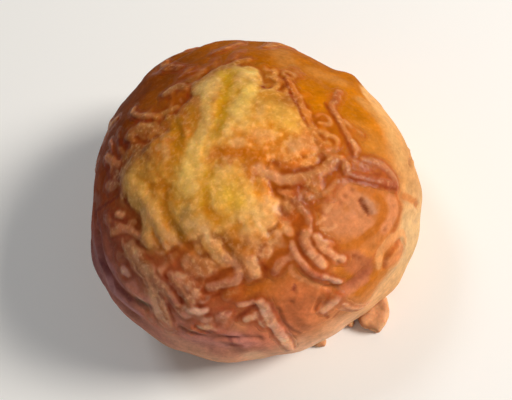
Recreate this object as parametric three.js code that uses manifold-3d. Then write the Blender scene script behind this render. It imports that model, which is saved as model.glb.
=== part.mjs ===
// Cheese bread: a round yeast bun with grated cheese melted and browned over its dome.
// Millimetres, +Z up. The bun stands on its flat baked base at z = 0, and the origin is below the
// middle of the whole part.
//
// Everything on the crust is placed on a flat map of it. The map's (u, v) are millimetres measured
// over the crust from the top of the dome, u towards +X and v towards +Y, and h is the height above
// the crust. The dome's edge is about 60 mm out on the map, and the rim of the base about 85 mm.

import * as THREE from 'three';
import { mergeVertices } from 'three/addons/utils/BufferGeometryUtils.js';
import Module from 'manifold-3d';

const wasm = await Module();
wasm.setup();

// ---- Driving dimensions ----------------------------------------------------------------------

const WIDTH = 86;
const HEIGHT = 54;
const WAIST_HEIGHT = 23;
const BASE_WIDTH = 69;

// Powers of the superellipse curves from dome to waist and from waist to base; 2 is an ellipse.
const DOME_POWER = 2.15;
const FOOT_POWER = 2.2;

// The bun isn't quite round: lobes around it, as a share of the radius, with the first one's angle.
const PLAN_LOBES = [
  { count: 2, share: 0.016, angle: -54 },
  { count: 3, share: 0.04, angle: -42 },
];
const LOBES_FULL_AT = 40;

// Low swells of the crust, and its deepest folds with the puffed skin beside them.
const SWELL = 0.5;
const FOLDS = [
  { path: [[3, -45], [9, -47.5], [14, -46]], width: 1.8, depth: 1.3 },
  { path: [[-14, -33], [-4, -38], [2, -46], [-4, -51]], width: 2.2, depth: 0.9 },
  { path: [[-42, 12], [-45, -4], [-46, -18]], width: 2.2, depth: 1.1 },
  { path: [[-48, -10], [-45, -28], [-34, -44]], width: 2.4, depth: 1.0 },
  { path: [[12, -24], [24, -33], [36, -34]], width: 2.2, depth: 0.7 },
  { path: [[2, 38], [20, 42], [36, 34]], width: 2.4, depth: 0.9 },
  { path: [[-30, 40], [-14, 48], [6, 52]], width: 2.4, depth: 0.9 },
];
const BLISTERS = [
  { at: [24.5, -48.5], radius: 4, rise: 1.0 },
  { at: [21.5, -32], radius: 2.4, rise: 1.0 },
  { at: [49, 6], radius: 4.5, rise: 1.6 },
  { at: [8, -58], radius: 6, rise: 0.9 },
];

// The pool of molten cheese: overlapping rounds on the map, each a low dome.
const POOL = [
  { at: [13, 13], radius: 9.5, rise: 2.0 },
  { at: [14, -3], radius: 10.5, rise: 2.2 },
  { at: [3, 3], radius: 12, rise: 2.6 },
  { at: [-13, 3], radius: 10, rise: 2.3 },
  { at: [-19, 8], radius: 6, rise: 2.4 },
  { at: [-21, -5], radius: 6.5, rise: 2.3 },
  { at: [-5, -10], radius: 10.5, rise: 2.6 },
  { at: [-2, -19], radius: 7.5, rise: 2.3 },
  { at: [-9, -27], radius: 2.6, rise: 1.8 },
  { at: [-10.5, -31], radius: 2.2, rise: 1.9 },
];

const POOL_FLATNESS = 0.6;

// The larger shreds of grated cheese, as paths on the map.
const SHREDS = [
  // beside the pool, up the dome
  { width: 3.6, path: [[-3, 24.5], [1, 23]] },
  { width: 3.0, path: [[2, 20], [4, 18]] },
  { width: 2.6, path: [[-11, 27], [-9.5, 22], [-7, 18]] },
  { width: 3.6, path: [[-16.5, 20], [-14, 17.5]] },
  { width: 3.2, path: [[-5, 18], [-3, 15]] },
  { width: 3.6, path: [[-10, 13], [-8, 10]] },
  { width: 2.8, path: [[-25, 24], [-24, 19], [-22.5, 14]] },
  { width: 3.4, path: [[-35, 21], [-36, 13]] },
  { width: 2.2, path: [[16, 29], [20, 29], [25, 31]] },
  // left and lower left
  { width: 2.4, path: [[-31, 3], [-28.5, 0], [-29, -4]] },
  { width: 3.0, path: [[-35, -5.5], [-35.5, -10]] },
  { width: 3.2, path: [[-30, -5], [-33.5, -11], [-36.5, -18], [-40, -25]] },
  { width: 2.4, path: [[-26, -18], [-28, -23], [-29, -28]] },
  { width: 3.2, path: [[-28, -31], [-25, -34.5], [-21, -38.5]] },
  { width: 2.8, path: [[-24, -25], [-19, -28], [-14, -29], [-12, -26], [-13, -20]] },
  { width: 1.8, path: [[-20, -34], [-16, -37]] },
  { width: 4.2, path: [[-15, -38], [-14.5, -42], [-17, -49], [-20, -58]] },
  // below the pool
  { width: 4.2, path: [[-8, -34.5], [-4, -34], [-1, -32.5]] },
  { width: 2.6, path: [[1, -32], [1, -36], [3, -42], [6, -45.5]] },
  { width: 5.2, path: [[6.5, -28], [6, -32], [6.5, -36], [8.5, -39.5]] },
  { width: 2.0, path: [[7, -19], [9, -23], [8, -27]] },
  { width: 3.6, path: [[4, -13.5], [8, -15.5], [11, -19.5], [16, -20], [20, -19]] },
  { width: 3.0, path: [[12, -15], [16, -17]] },
  // right of the pool
  { width: 2.0, path: [[29, 12], [26.5, 2], [23, -9], [20.5, -18]] },
  { width: 2.2, path: [[39, -1], [31.5, -6], [28.5, -11], [25.5, -18.5]] },
  { width: 1.8, path: [[25, -7], [27.5, -9.5], [25.5, -13]] },
  { width: 2.0, path: [[24.5, -20], [21.5, -23.5]] },
  { width: 4.0, path: [[27, -21.5], [30, -25], [33, -30]] },
  { width: 2.2, path: [[20, -25], [26, -28], [32, -33]] },
  { width: 2.2, path: [[22.5, 11], [20, 8], [21.5, 4]] },
  { width: 2.4, path: [[27, 16], [33, 10.5], [35, 3]] },
  { width: 2.6, path: [[33.5, -34], [38, -38], [44, -41]] },
  // the far side of the dome
  { width: 3.0, path: [[6, 30], [2, 36], [4, 41]] },
  { width: 2.6, path: [[-16, 32], [-20, 37], [-18, 43]] },
  { width: 3.2, path: [[30, 24], [35, 27], [40, 25]] },
  { width: 2.4, path: [[-30, 30], [-35, 34]] },
  { width: 2.8, path: [[12, 45], [18, 48], [25, 47]] },
];
// A shred's middle line lies this share of its radius above the crust, and it is slightly flat.
const SHRED_LIFT = 0.3;
const SHRED_FLATNESS = 0.85;

// Crisp scraps of cheese that ran down and baked on to the foot: outlines on the floor, in order.
const SCRAPS = [
  { thickness: 2.4, outline: [[0.2, -32], [0.4, -37.2], [1.6, -39.2], [3.3, -38.2], [3.6, -32]] },
  {
    thickness: 3.6,
    outline: [[4.2, -32], [3.9, -41], [6.5, -44.6], [9.4, -43.8], [12.6, -41.2], [13.6, -37.6], [12.4, -32]],
  },
  { thickness: 2.2, outline: [[-10.6, -32], [-9.4, -37.4], [-7.2, -38.8], [-5.6, -37.2], [-5, -32]] },
];

// Between pieces that touch.
const GAP = 0.3;

// How finely the crust is faceted: rings from the top to the rim of the base, and sides around.
const CRUST_RINGS = 18;
const CRUST_SIDES = 72;

// ---- Looks -----------------------------------------------------------------------------------

const crustLook = () => new THREE.MeshStandardMaterial({ color: 0xb4662c, roughness: 0.55, metalness: 0 });
const cheeseLook = () => new THREE.MeshStandardMaterial({ color: 0xdda24c, roughness: 0.42, metalness: 0 });
const scrapLook = () => new THREE.MeshStandardMaterial({ color: 0xa06a3c, roughness: 0.6, metalness: 0 });

// ---- The crust and its map -------------------------------------------------------------------

const degrees = THREE.MathUtils.degToRad;
const clamp = THREE.MathUtils.clamp;

/** The bun's half section from the top to the rim of the base, as { s, r, z } along its length. */
function halfSection(steps = 400) {
  const radius = WIDTH / 2;
  const baseRadius = BASE_WIDTH / 2;
  const points = [];
  for (let i = 0; i <= steps; i++) {
    const turn = (Math.PI / 2) * (i / steps);
    points.push({
      r: radius * Math.sin(turn) ** (2 / DOME_POWER),
      z: WAIST_HEIGHT + (HEIGHT - WAIST_HEIGHT) * Math.max(Math.cos(turn), 0) ** (2 / DOME_POWER),
    });
  }
  for (let i = 1; i <= steps; i++) {
    const turn = (Math.PI / 2) * (i / steps);
    points.push({
      r: baseRadius + (radius - baseRadius) * Math.max(Math.cos(turn), 0) ** (2 / FOOT_POWER),
      z: WAIST_HEIGHT - WAIST_HEIGHT * Math.sin(turn) ** (2 / FOOT_POWER),
    });
  }
  let s = 0;
  points.forEach((point, i) => {
    const before = points[Math.max(i - 1, 0)];
    s += Math.hypot(point.r - before.r, point.z - before.z);
    point.s = s;
  });
  return points;
}

const SECTION = halfSection();
const RIM = SECTION.at(-1).s;

/** The half section's radius and height at the length s from the top. */
function sectionAt(s) {
  let low = 0;
  let high = SECTION.length - 1;
  while (high - low > 1) {
    const middle = (low + high) >> 1;
    if (SECTION[middle].s > s) high = middle;
    else low = middle;
  }
  const share = clamp((s - SECTION[low].s) / (SECTION[high].s - SECTION[low].s), 0, 1);
  return {
    r: THREE.MathUtils.lerp(SECTION[low].r, SECTION[high].r, share),
    z: THREE.MathUtils.lerp(SECTION[low].z, SECTION[high].z, share),
  };
}

/** The smooth crust, without swells and folds. */
function smoothCrust(u, v) {
  const s = Math.hypot(u, v);
  const angle = Math.atan2(v, u);
  const { r, z } = sectionAt(s);
  let lobe = 0;
  for (const { count, share, angle: first } of PLAN_LOBES) {
    lobe += share * Math.cos(count * (angle - degrees(first)));
  }
  const reach = r * (1 + lobe * clamp(s / LOBES_FULL_AT, 0, 1));
  return new THREE.Vector3(reach * Math.cos(angle), reach * Math.sin(angle), z);
}

function crustNormal(u, v) {
  const step = 0.25;
  const alongU = smoothCrust(u + step, v).sub(smoothCrust(u - step, v));
  const alongV = smoothCrust(u, v + step).sub(smoothCrust(u, v - step));
  return alongU.cross(alongV).normalize();
}

function distanceToPath(u, v, path) {
  let nearest = Infinity;
  for (let i = 0; i + 1 < path.length; i++) {
    const [u0, v0] = path[i];
    const du = path[i + 1][0] - u0;
    const dv = path[i + 1][1] - v0;
    const share = clamp(((u - u0) * du + (v - v0) * dv) / (du * du + dv * dv), 0, 1);
    nearest = Math.min(nearest, Math.hypot(u - u0 - share * du, v - v0 - share * dv));
  }
  return nearest;
}

/** How far the crust stands out from its smooth form; nothing at the rim of the base. */
function relief(u, v) {
  let height = SWELL * Math.sin(u / 8.5 + 0.6) * Math.cos(v / 7.5 - 0.4);
  height += 0.6 * SWELL * Math.sin((u + v) / 5.2) * Math.sin((u - v) / 6.1 + 1.1);
  for (const { path, width, depth } of FOLDS) {
    const away = distanceToPath(u, v, path) / width;
    height += depth * (0.6 * Math.exp(-((away - 2) ** 2)) - Math.exp(-away * away));
  }
  for (const { at, radius, rise } of BLISTERS) {
    const away = Math.hypot(u - at[0], v - at[1]) / radius;
    height += rise * Math.exp(-away * away);
  }
  return height * clamp((RIM - Math.hypot(u, v)) / 12, 0, 1);
}

/** The point at height h above the crust. */
function crustPoint(u, v, h = 0) {
  return smoothCrust(u, v).addScaledVector(crustNormal(u, v), relief(u, v) + h);
}

/** The bun's closed surface with everything but its base moved out by offset. */
function bunGeometry(offset = 0) {
  const positions = [];
  const index = [];
  const at = (ring, side) => 1 + (ring - 1) * CRUST_SIDES + (side % CRUST_SIDES);
  positions.push(...crustPoint(1e-4, 0, offset).toArray());
  for (let ring = 1; ring <= CRUST_RINGS; ring++) {
    for (let side = 0; side < CRUST_SIDES; side++) {
      const angle = (2 * Math.PI * side) / CRUST_SIDES;
      const s = (RIM * ring) / CRUST_RINGS;
      const point = crustPoint(s * Math.cos(angle), s * Math.sin(angle), offset);
      if (ring === CRUST_RINGS) point.z = -offset;
      positions.push(...point.toArray());
    }
  }
  const middle = positions.length / 3;
  positions.push(0, 0, -offset);
  for (let side = 0; side < CRUST_SIDES; side++) {
    index.push(0, at(1, side), at(1, side + 1));
    for (let ring = 1; ring < CRUST_RINGS; ring++) {
      index.push(at(ring, side), at(ring + 1, side), at(ring + 1, side + 1));
      index.push(at(ring, side), at(ring + 1, side + 1), at(ring, side + 1));
    }
    index.push(middle, at(CRUST_RINGS, side + 1), at(CRUST_RINGS, side));
  }
  const geometry = new THREE.BufferGeometry();
  geometry.setAttribute('position', new THREE.Float32BufferAttribute(positions, 3));
  geometry.setIndex(index);
  geometry.computeVertexNormals();
  return geometry;
}

// ---- Pieces on the crust ---------------------------------------------------------------------

/** A low dome of cheese on the crust: a sphere laid out on the map, pressed flat on top. */
function dollop({ at: [u, v], radius, rise }) {
  const geometry = new THREE.SphereGeometry(1, 16, 8).rotateX(Math.PI / 2);
  const position = geometry.attributes.position;
  for (let i = 0; i < position.count; i++) {
    const up = position.getZ(i);
    const height = rise * Math.sign(up) * Math.abs(up) ** POOL_FLATNESS;
    const point = crustPoint(u + radius * position.getX(i), v + radius * position.getY(i), height);
    position.setXYZ(i, ...point.toArray());
  }
  return geometry;
}

/** A shred of cheese: a capsule bent along its path over the crust, a little sunk and flattened. */
function shred({ path, width }) {
  const radius = width / 2;
  const curve = new THREE.CatmullRomCurve3(path.map(([u, v]) => crustPoint(u, v, radius * SHRED_LIFT)));
  const ups = path.map(([u, v]) => crustNormal(u, v));
  const length = curve.getLength();
  const geometry = new THREE.CapsuleGeometry(radius, length, 2, 6, Math.max(1, Math.round(length / 4.5)));
  const position = geometry.attributes.position;
  for (let i = 0; i < position.count; i++) {
    const along = clamp(position.getY(i), -length / 2, length / 2);
    const share = along / length + 0.5;
    const tangent = curve.getTangentAt(share);
    const spot = share * (ups.length - 1);
    const first = Math.min(Math.floor(spot), ups.length - 2);
    const up = ups[first].clone().lerp(ups[first + 1], spot - first);
    up.addScaledVector(tangent, -up.dot(tangent)).normalize();
    const across = up.clone().cross(tangent);
    const point = curve.getPointAt(share).addScaledVector(tangent, position.getY(i) - along);
    point.addScaledVector(across, position.getX(i)).addScaledVector(up, -position.getZ(i) * SHRED_FLATNESS);
    position.setXYZ(i, ...point.toArray());
  }
  return geometry;
}

/** A crisp scrap lying on the floor against the foot of the bun. */
function scrap({ outline, thickness }) {
  const shape = new THREE.Shape(outline.map(([x, y]) => new THREE.Vector2(x, y)));
  const bevel = thickness / 5;
  const geometry = new THREE.ExtrudeGeometry(shape, {
    depth: thickness - bevel,
    bevelThickness: bevel,
    bevelSize: bevel,
    bevelOffset: -bevel,
    bevelSegments: 1,
  });
  const position = geometry.attributes.position;
  for (let i = 0; i < position.count; i++) {
    position.setZ(i, Math.max(position.getZ(i), 0));
  }
  return geometry;
}

// ---- Solids ----------------------------------------------------------------------------------

function toSolid(geometry) {
  const bare = geometry.clone();
  bare.deleteAttribute('normal');
  bare.deleteAttribute('uv');
  const merged = mergeVertices(bare, 1e-4);
  const corners = [];
  const index = merged.index.array;
  for (let i = 0; i < index.length; i += 3) {
    const [a, b, c] = index.slice(i, i + 3);
    if (a !== b && b !== c && c !== a) corners.push(a, b, c);
  }
  return new wasm.Manifold(
    new wasm.Mesh({
      numProp: 3,
      vertProperties: Float32Array.from(merged.attributes.position.array),
      triVerts: Uint32Array.from(corners),
    }),
  );
}

function fromSolid(solid) {
  const mesh = solid.getMesh();
  const geometry = new THREE.BufferGeometry();
  geometry.setAttribute('position', new THREE.Float32BufferAttribute(mesh.vertProperties, 3));
  geometry.setIndex(Array.from(mesh.triVerts));
  geometry.computeVertexNormals();
  return geometry;
}

function named(name, geometry, material) {
  const mesh = new THREE.Mesh(geometry, material);
  mesh.name = name;
  return mesh;
}

const cleared = toSolid(bunGeometry(GAP));

/** The cheese on the crust, cut clear of the bun and parted into its separate lumps, largest first. */
function cheeseLumps() {
  let cheese = null;
  for (const geometry of [...POOL.map(dollop), ...SHREDS.map(shred)]) {
    const solid = toSolid(geometry);
    cheese = cheese ? cheese.add(solid) : solid;
  }
  const lumps = cheese.subtract(cleared).decompose();
  return lumps.sort((a, b) => b.volume() - a.volume());
}

const group = new THREE.Group();
group.add(named('bun', bunGeometry(), crustLook()));

cheeseLumps().forEach((lump, i) => {
  group.add(named(i === 0 ? 'melted_cheese' : `cheese_shred_${i}`, fromSolid(lump), cheeseLook()));
});

SCRAPS.forEach((piece, i) => {
  const solid = toSolid(scrap(piece)).subtract(cleared);
  group.add(named(`crisp_scrap_${i + 1}`, fromSolid(solid), scrapLook()));
});

const box = new THREE.Box3().setFromObject(group);
const centre = box.getCenter(new THREE.Vector3());
group.position.set(-centre.x, -centre.y, 0);

export default group;
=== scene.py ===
"""Cheese bread: a round bun with a pool of melted cheese and browned shreds of it over its dome.

Everything on the crust is laid out on a flat map of it, as in the solids. A place (u, v) on the map
is in millimetres over the crust from the top of the dome, u towards +X and v towards +Y. Meshes are
worked out in millimetres and made in metres, in the frame of the solids.

The pieces are the crust, one sheet for the pool and all the shreds, and three scraps at the foot.
Their colours are painted on the points of the meshes, among them painted shade in hollows, folds and
beside the shreds and painted highlights on their tops, and the materials add grain, pale specks that
are painted glints, and gloss.
"""

import math

import bpy
import numpy as np
from mathutils import Matrix, Vector


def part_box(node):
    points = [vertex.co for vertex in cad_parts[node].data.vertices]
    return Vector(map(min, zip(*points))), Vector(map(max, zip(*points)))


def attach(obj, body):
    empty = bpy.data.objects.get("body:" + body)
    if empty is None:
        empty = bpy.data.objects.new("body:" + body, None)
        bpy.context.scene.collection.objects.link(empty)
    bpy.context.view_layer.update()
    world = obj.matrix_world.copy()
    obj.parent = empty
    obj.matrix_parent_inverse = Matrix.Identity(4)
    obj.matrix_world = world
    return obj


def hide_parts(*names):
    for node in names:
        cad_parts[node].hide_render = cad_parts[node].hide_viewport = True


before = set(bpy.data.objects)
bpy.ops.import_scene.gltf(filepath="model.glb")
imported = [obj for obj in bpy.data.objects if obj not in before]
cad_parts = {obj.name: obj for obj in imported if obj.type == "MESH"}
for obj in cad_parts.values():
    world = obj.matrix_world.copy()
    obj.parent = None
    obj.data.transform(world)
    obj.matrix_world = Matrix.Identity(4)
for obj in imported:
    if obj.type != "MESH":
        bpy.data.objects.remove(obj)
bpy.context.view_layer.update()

MM = 0.001

# ---- The bun's form, as in the solids ----

# Sizes in millimetres, the roundness of dome and foot, and how far the outline is from a circle:
# lobes as (how many, share of the radius, direction of the first in degrees).
WIDTH = 86.0
HEIGHT = 54.0
WAIST_HEIGHT = 23.0
BASE_WIDTH = 69.0
DOME_POWER = 2.15
FOOT_POWER = 2.2
PLAN_LOBES = ((2, 0.016, -54.0), (3, 0.04, -42.0))
LOBES_FULL_AT = 40.0

# Relief of the crust: swells, folds as (path, width, depth), blisters as (centre, radius, rise).
SWELL = 0.5
RELIEF_FADE = 12
FOLDS = (
    (((3, -45), (9, -47.5), (14, -46)), 1.8, 0.6),
    (((-14, -33), (-4, -38), (2, -46), (-4, -51)), 2.2, 0.5),
    (((-42, 12), (-45, -4), (-46, -18)), 2.2, 0.3),
    (((-48, -10), (-45, -28), (-34, -44)), 2.4, 0.3),
    (((12, -24), (24, -33), (36, -34)), 2.2, 0.3),
    (((2, 38), (20, 42), (36, 34)), 2.4, 0.9),
    (((-30, 40), (-14, 48), (6, 52)), 2.4, 0.9),
)
BLISTERS = (
    ((24.5, -48.5), 4.0, 1.0), ((22, -32), 2.2, 0.7), ((49, 6), 4.5, 1.6), ((8, -58), 6.0, 0.9),
)

# ---- The cheese: places of the pool and the shreds ----

# The pool: rounds on the map as centre and radius.
POOL = (
    ((12.4, 12.4), 8.9), ((14, -3), 10.5), ((17.6, -12.2), 3.2), ((3, 3), 12.0), ((-13, 3), 10.0),
    ((-19, 8), 6.0), ((-19.5, -5), 4.6), ((-21, -9), 3.2), ((-24.6, -7.4), 2.2), ((-15.4, -11), 4.0),
    ((-5, -10), 10.5), ((-2, -19), 7.5), ((-9, -27), 2.6), ((-10.5, -31), 2.2),
)

# The larger shreds: width, rise, tone from -1 (dark and reddish) to 1 (pale), and path on the map.
SHREDS = (
    (2.6, 0.45, 0.3, ((-1.2, 22.8), (0.8, 22.6), (2.8, 21.8), (3.8, 20))),
    (1.7, 0.45, 0.2, ((-9.8, 27.4), (-10.8, 25.8), (-10, 23.2), (-8.2, 20.8), (-6.8, 19.2), (-5.6, 16.8))),
    (3.4, 0.45, 0.1, ((-15.6, 19.4), (-13.6, 19.6), (-11.4, 19), (-9.6, 17.2), (-8.2, 15.4))),
    (3.0, 0.30, 0.2, ((-19, 15.6), (-16.6, 15.2), (-14.6, 13.4), (-12.8, 12.2))),
    (3.0, 0.35, 0.1, ((-10.4, 13.8), (-8.8, 13.4), (-7, 12), (-6.4, 10.2))),
    (1.8, 0.35, 0.1, ((-4.6, 16.8), (-2.8, 16.4), (-0.8, 15.6))),
    (1.4, 0.30, 0.3, ((1.2, 14.6), (2.6, 13.6), (3.6, 12.4))),
    (1.2, 0.35, 0.2, ((-20.8, 26.6), (-20.6, 24), (-21.2, 22))),
    (2.4, 0.40, 0.1, ((-24, 22.8), (-23, 19), (-21.8, 16))),
    (2.0, 0.35, 0.0, ((-23.6, 35), (-22.2, 35.8), (-20.8, 34.6))),
    (1.8, 0.30, 0.0, ((-23.6, 15.6), (-23.8, 13), (-23.4, 11.4))),
    (2.2, 0.30, 0.0, ((16, 29), (20, 29), (25, 31))),
    (3.0, 0.35, 0.0, ((-27.6, 14.4), (-26.8, 12.4), (-25.6, 12))),
    (2.1, 0.45, 0.5, ((-28.5, 4.5), (-27.8, 3))),
    (1.6, 0.30, 0.2, ((-27, 0), (-25.6, -1.2))),
    (2.2, 0.40, 0.3, ((-32.8, 2), (-30.6, 1.2), (-28.6, -0.4), (-27.4, -2.6), (-26.6, -5))),
    (0.9, 0.30, 0.7, ((-31.2, -1.6), (-32.4, -3.4))),
    (3.0, 0.20, 0.0, ((-35, -3.2), (-34.2, -5))),
    (2.6, 0.40, 0.4, ((-36.2, -6.8), (-35.6, -8.4))),
    (5.0, 0.45, 0.2, ((-30.6, -5), (-30.4, -9.8), (-30.2, -12.8), (-31.4, -15.4), (-32.8, -18),
                      (-36, -21.4), (-38.6, -24.4))),
    (2.4, 0.35, 0.3, ((-30, -15.4), (-29.8, -19.6), (-31, -23.4), (-31.4, -26.6))),
    (2.0, 0.35, 0.2, ((-25.8, -17.4), (-26.2, -21.5), (-27.2, -24.6), (-28, -26.4))),
    (1.6, 0.30, 0.2, ((-24.6, -18.6), (-23.2, -21.2), (-22.6, -24))),
    # Bright lumps: their pale tone is partly a painted highlight.
    (2.0, 0.40, 0.8, ((-29.6, -26.8), (-28, -28.3), (-26, -30))),
    (1.6, 0.25, 0.3, ((-31.8, -26.2), (-30.8, -28))),
    (2.2, 0.30, 0.3, ((-28.6, -31.4), (-27.2, -32.4))),
    (2.2, 0.30, 0.3, ((-25.4, -33.4), (-22.4, -34.8))),
    (2.1, 0.40, 0.3, ((-12.8, -21), (-12.5, -24.4), (-11.9, -27.8), (-12.6, -29.6), (-15.2, -29.8),
                      (-18, -28), (-21, -26.6))),
    (4.2, 0.45, 0.4, ((-12.2, -15), (-13, -19), (-13.7, -22.2), (-13.5, -24.6))),
    (4.6, 0.25, 0.1, ((-20.2, -18.4), (-19, -21.6), (-17.2, -24))),
    # A pale sliver: its pale tone is partly a painted highlight.
    (1.4, 0.40, 1.0, ((-19, -35), (-16.6, -36.5), (-14.2, -37.8))),
    (3.2, 0.35, 0.3, ((-17.6, -40.4), (-18.2, -44.5))),
    (3.6, 0.45, 0.5, ((-13.8, -38.6), (-15.4, -43.4), (-17, -49))),
    (4.0, 0.40, 0.4, ((-17, -49), (-19.2, -55), (-21.6, -60.4))),
    (2.8, 0.35, 0.6, ((-20.8, -39.6), (-19.4, -40.6))),
    (2.6, 0.50, 0.6, ((-8.2, -27), (-8.2, -29.4), (-9.6, -31.8))),
    (2.4, 0.35, 0.1, ((0.2, -33.2), (-3, -33.2), (-5.8, -34.4))),
    (1.7, 0.35, -0.1, ((2, -30.6), (1.1, -33.2), (1, -36), (1.3, -38.6), (2.6, -41), (3.6, -42.6))),
    (1.9, 0.40, 0.9, ((3.6, -41.6), (4.8, -43.4), (6.2, -45.2))),
    (1.7, 0.35, 0.2, ((6.8, -18.8), (7.8, -20.4), (8.2, -22.4), (8.6, -24.6), (8.7, -26.8), (8, -28.8),
                      (6.6, -30.2))),
    (2.8, 0.45, 0.3, ((6.4, -30), (5, -31.6), (4.4, -33.8), (4.6, -36.4), (5.2, -38.8))),
    (2.3, 0.40, 0.3, ((7.4, -32.4), (7.6, -35), (8.2, -37.4), (8.8, -39), (10, -40.2))),
    (1.2, 0.30, 0.6, ((8.8, -34.4), (10, -36.2))),
    (2.4, 0.30, 0.6, ((3.8, -49.2), (1, -50.4), (-2.4, -51.6))),
    (2.0, 0.25, 0.3, ((3.8, -52.4), (6.2, -57.4), (10.8, -63.4))),
    (2.8, 0.45, 0.5, ((5.6, -11.6), (7, -14.4), (8.8, -17), (11.2, -18.5), (14.2, -19.2), (17, -19.8),
                      (21, -19.2))),
    (1.5, 0.35, 0.1, ((11.8, -19.4), (12.8, -20.8), (13.8, -21.5), (16, -20.8))),
    (1.3, 0.30, 0.3, ((10.8, -23.8), (12.6, -24.2), (14.2, -24.5))),
    (1.6, 0.35, 0.4, ((14.8, -24.5), (17.4, -24), (19, -23.5))),
    (2.4, 0.40, 0.3, ((12.4, -15.2), (15, -16.6), (17.4, -17))),
    (2.4, 0.40, 0.6, ((13.4, -13), (15.6, -13.6), (17.6, -13))),
    (1.8, 0.40, -0.1, ((27.6, 8), (26.2, 5), (25.2, 1), (24.2, -2.6), (23.2, -6), (22.2, -8.8),
                       (21.4, -11.4))),
    (1.8, 0.40, 0.1, ((21.4, -11.4), (21, -14), (20.7, -17), (20, -19.6))),
    (1.5, 0.30, 0.0, ((27, 8.4), (28.2, 10.2), (29.4, 8.8), (29.4, 7), (27.8, 5.8))),
    (2.0, 0.40, -0.3, ((37, -2.6), (34.4, -4.2), (32.6, -5.6))),
    (1.7, 0.40, -0.2, ((33.4, -5.4), (31, -6.2), (29.8, -8.6), (28.8, -11.4), (27.8, -14.8),
                       (26.8, -17.8), (26.2, -20))),
    # Three short pale shreds where glints show: their pale tone is partly a painted glint.
    (0.9, 0.25, 1.0, ((30.2, -11.6), (30.2, -14))),
    (0.9, 0.25, 1.0, ((30.8, -15), (31.2, -16.8))),
    (1.3, 0.35, 1.0, ((28, -17.4), (27.4, -19.4))),
    (1.1, 0.30, 0.2, ((24.8, -7.8), (26.6, -8), (27, -9.6), (26.2, -11), (24.8, -11), (24, -9.6))),
    (1.3, 0.30, 0.6, ((23.4, -13.2), (24.6, -14.6), (24.2, -16), (23, -17))),
    (1.4, 0.40, 0.5, ((23.1, -19.6), (22.7, -21.6), (21.6, -23.2))),
    (1.8, 0.40, -0.3, ((21.6, -23), (23.2, -24.4), (25.2, -26.2), (27.6, -28), (30.2, -29.8), (32.2, -31))),
    (2.1, 0.40, 0.0, ((27.2, -22.2), (28.8, -23.4), (30.8, -25), (32.2, -27.6), (32.5, -30.4))),
    (1.6, 0.35, 0.2, ((18.2, 7), (19.4, 5), (21.4, 4.2), (23.6, 5.6), (24, 7.6))),
    (3.0, 0.45, 0.0, ((6, 30), (2, 36), (4, 41))),
    (2.6, 0.45, 0.1, ((-16, 32), (-20, 37), (-18, 43))),
    (3.2, 0.45, 0.0, ((30, 24), (35, 27), (40, 25))),
    (2.4, 0.40, 0.0, ((-30, 30), (-35, 34))),
    (2.8, 0.45, 0.1, ((12, 45), (18, 48), (25, 47))),
)

# Dark lines beside shreds and the pool's lobe, partly caramelised fat and partly painted shadow:
# half width, strength and path.
CARAMEL_AND_SHADOW_LINES = (
    (0.5, 0.6, ((26, 7.4), (23.8, 0.4), (22.4, -4.8), (21, -9.4))),
    (0.5, 0.6, ((29.8, -5.2), (28.4, -9.8), (27, -14), (26, -17.8), (25.2, -20.2))),
    (0.5, 0.6, ((21.4, -24.2), (24.2, -26.8), (28, -29.6), (31, -31.4))),
    (0.6, 0.4, ((4.4, -29.6), (3.4, -32.4), (3.2, -35.4))),
    (0.6, 0.4, ((-12.4, -40.8), (-13.2, -44.6), (-14.2, -49.4), (-14.4, -54))),
    (0.9, 0.9, ((-16, -37.8), (-19, -38), (-22.5, -37.4))),
    (0.9, 0.6, ((-26.8, -17), (-27.8, -19.8), (-27.6, -23.2))),
    (0.5, 0.7, ((-30.6, -20.6), (-31.8, -23.6), (-29.8, -25), (-28.4, -23))),
    (0.5, 0.6, ((-33, -21.8), (-34.4, -24), (-35.4, -25.4))),
    (0.6, 0.6, ((-23.4, 10.4), (-24.8, 6.4), (-24.8, 3.6), (-24.2, 0.8), (-23.4, -1.8))),
    (0.8, 0.8, ((3, 17.2), (3.6, 15.6))),
    (0.5, 0.8, ((-11.8, 24.6), (-10.8, 21.6), (-9, 19))),
    (0.8, 0.7, ((-18.2, 21.6), (-17.4, 20), (-16.8, 18))),
    (0.5, 0.9, ((19.3, 6.9), (19.9, 5.9))),
    (0.8, 0.8, ((10.4, -19.8), (12.4, -21.8))),
    (0.6, 0.6, ((6.2, -17.8), (8.6, -19.2), (10.6, -20.6))),
    (0.8, 0.7, ((-6.8, -30.6), (-5.6, -35.2))),
    (0.7, 0.7, ((-24, -27.6), (-20, -29.4))),
    (0.8, 0.8, ((11.4, -26.6), (12.2, -28.4))),
)

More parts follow.
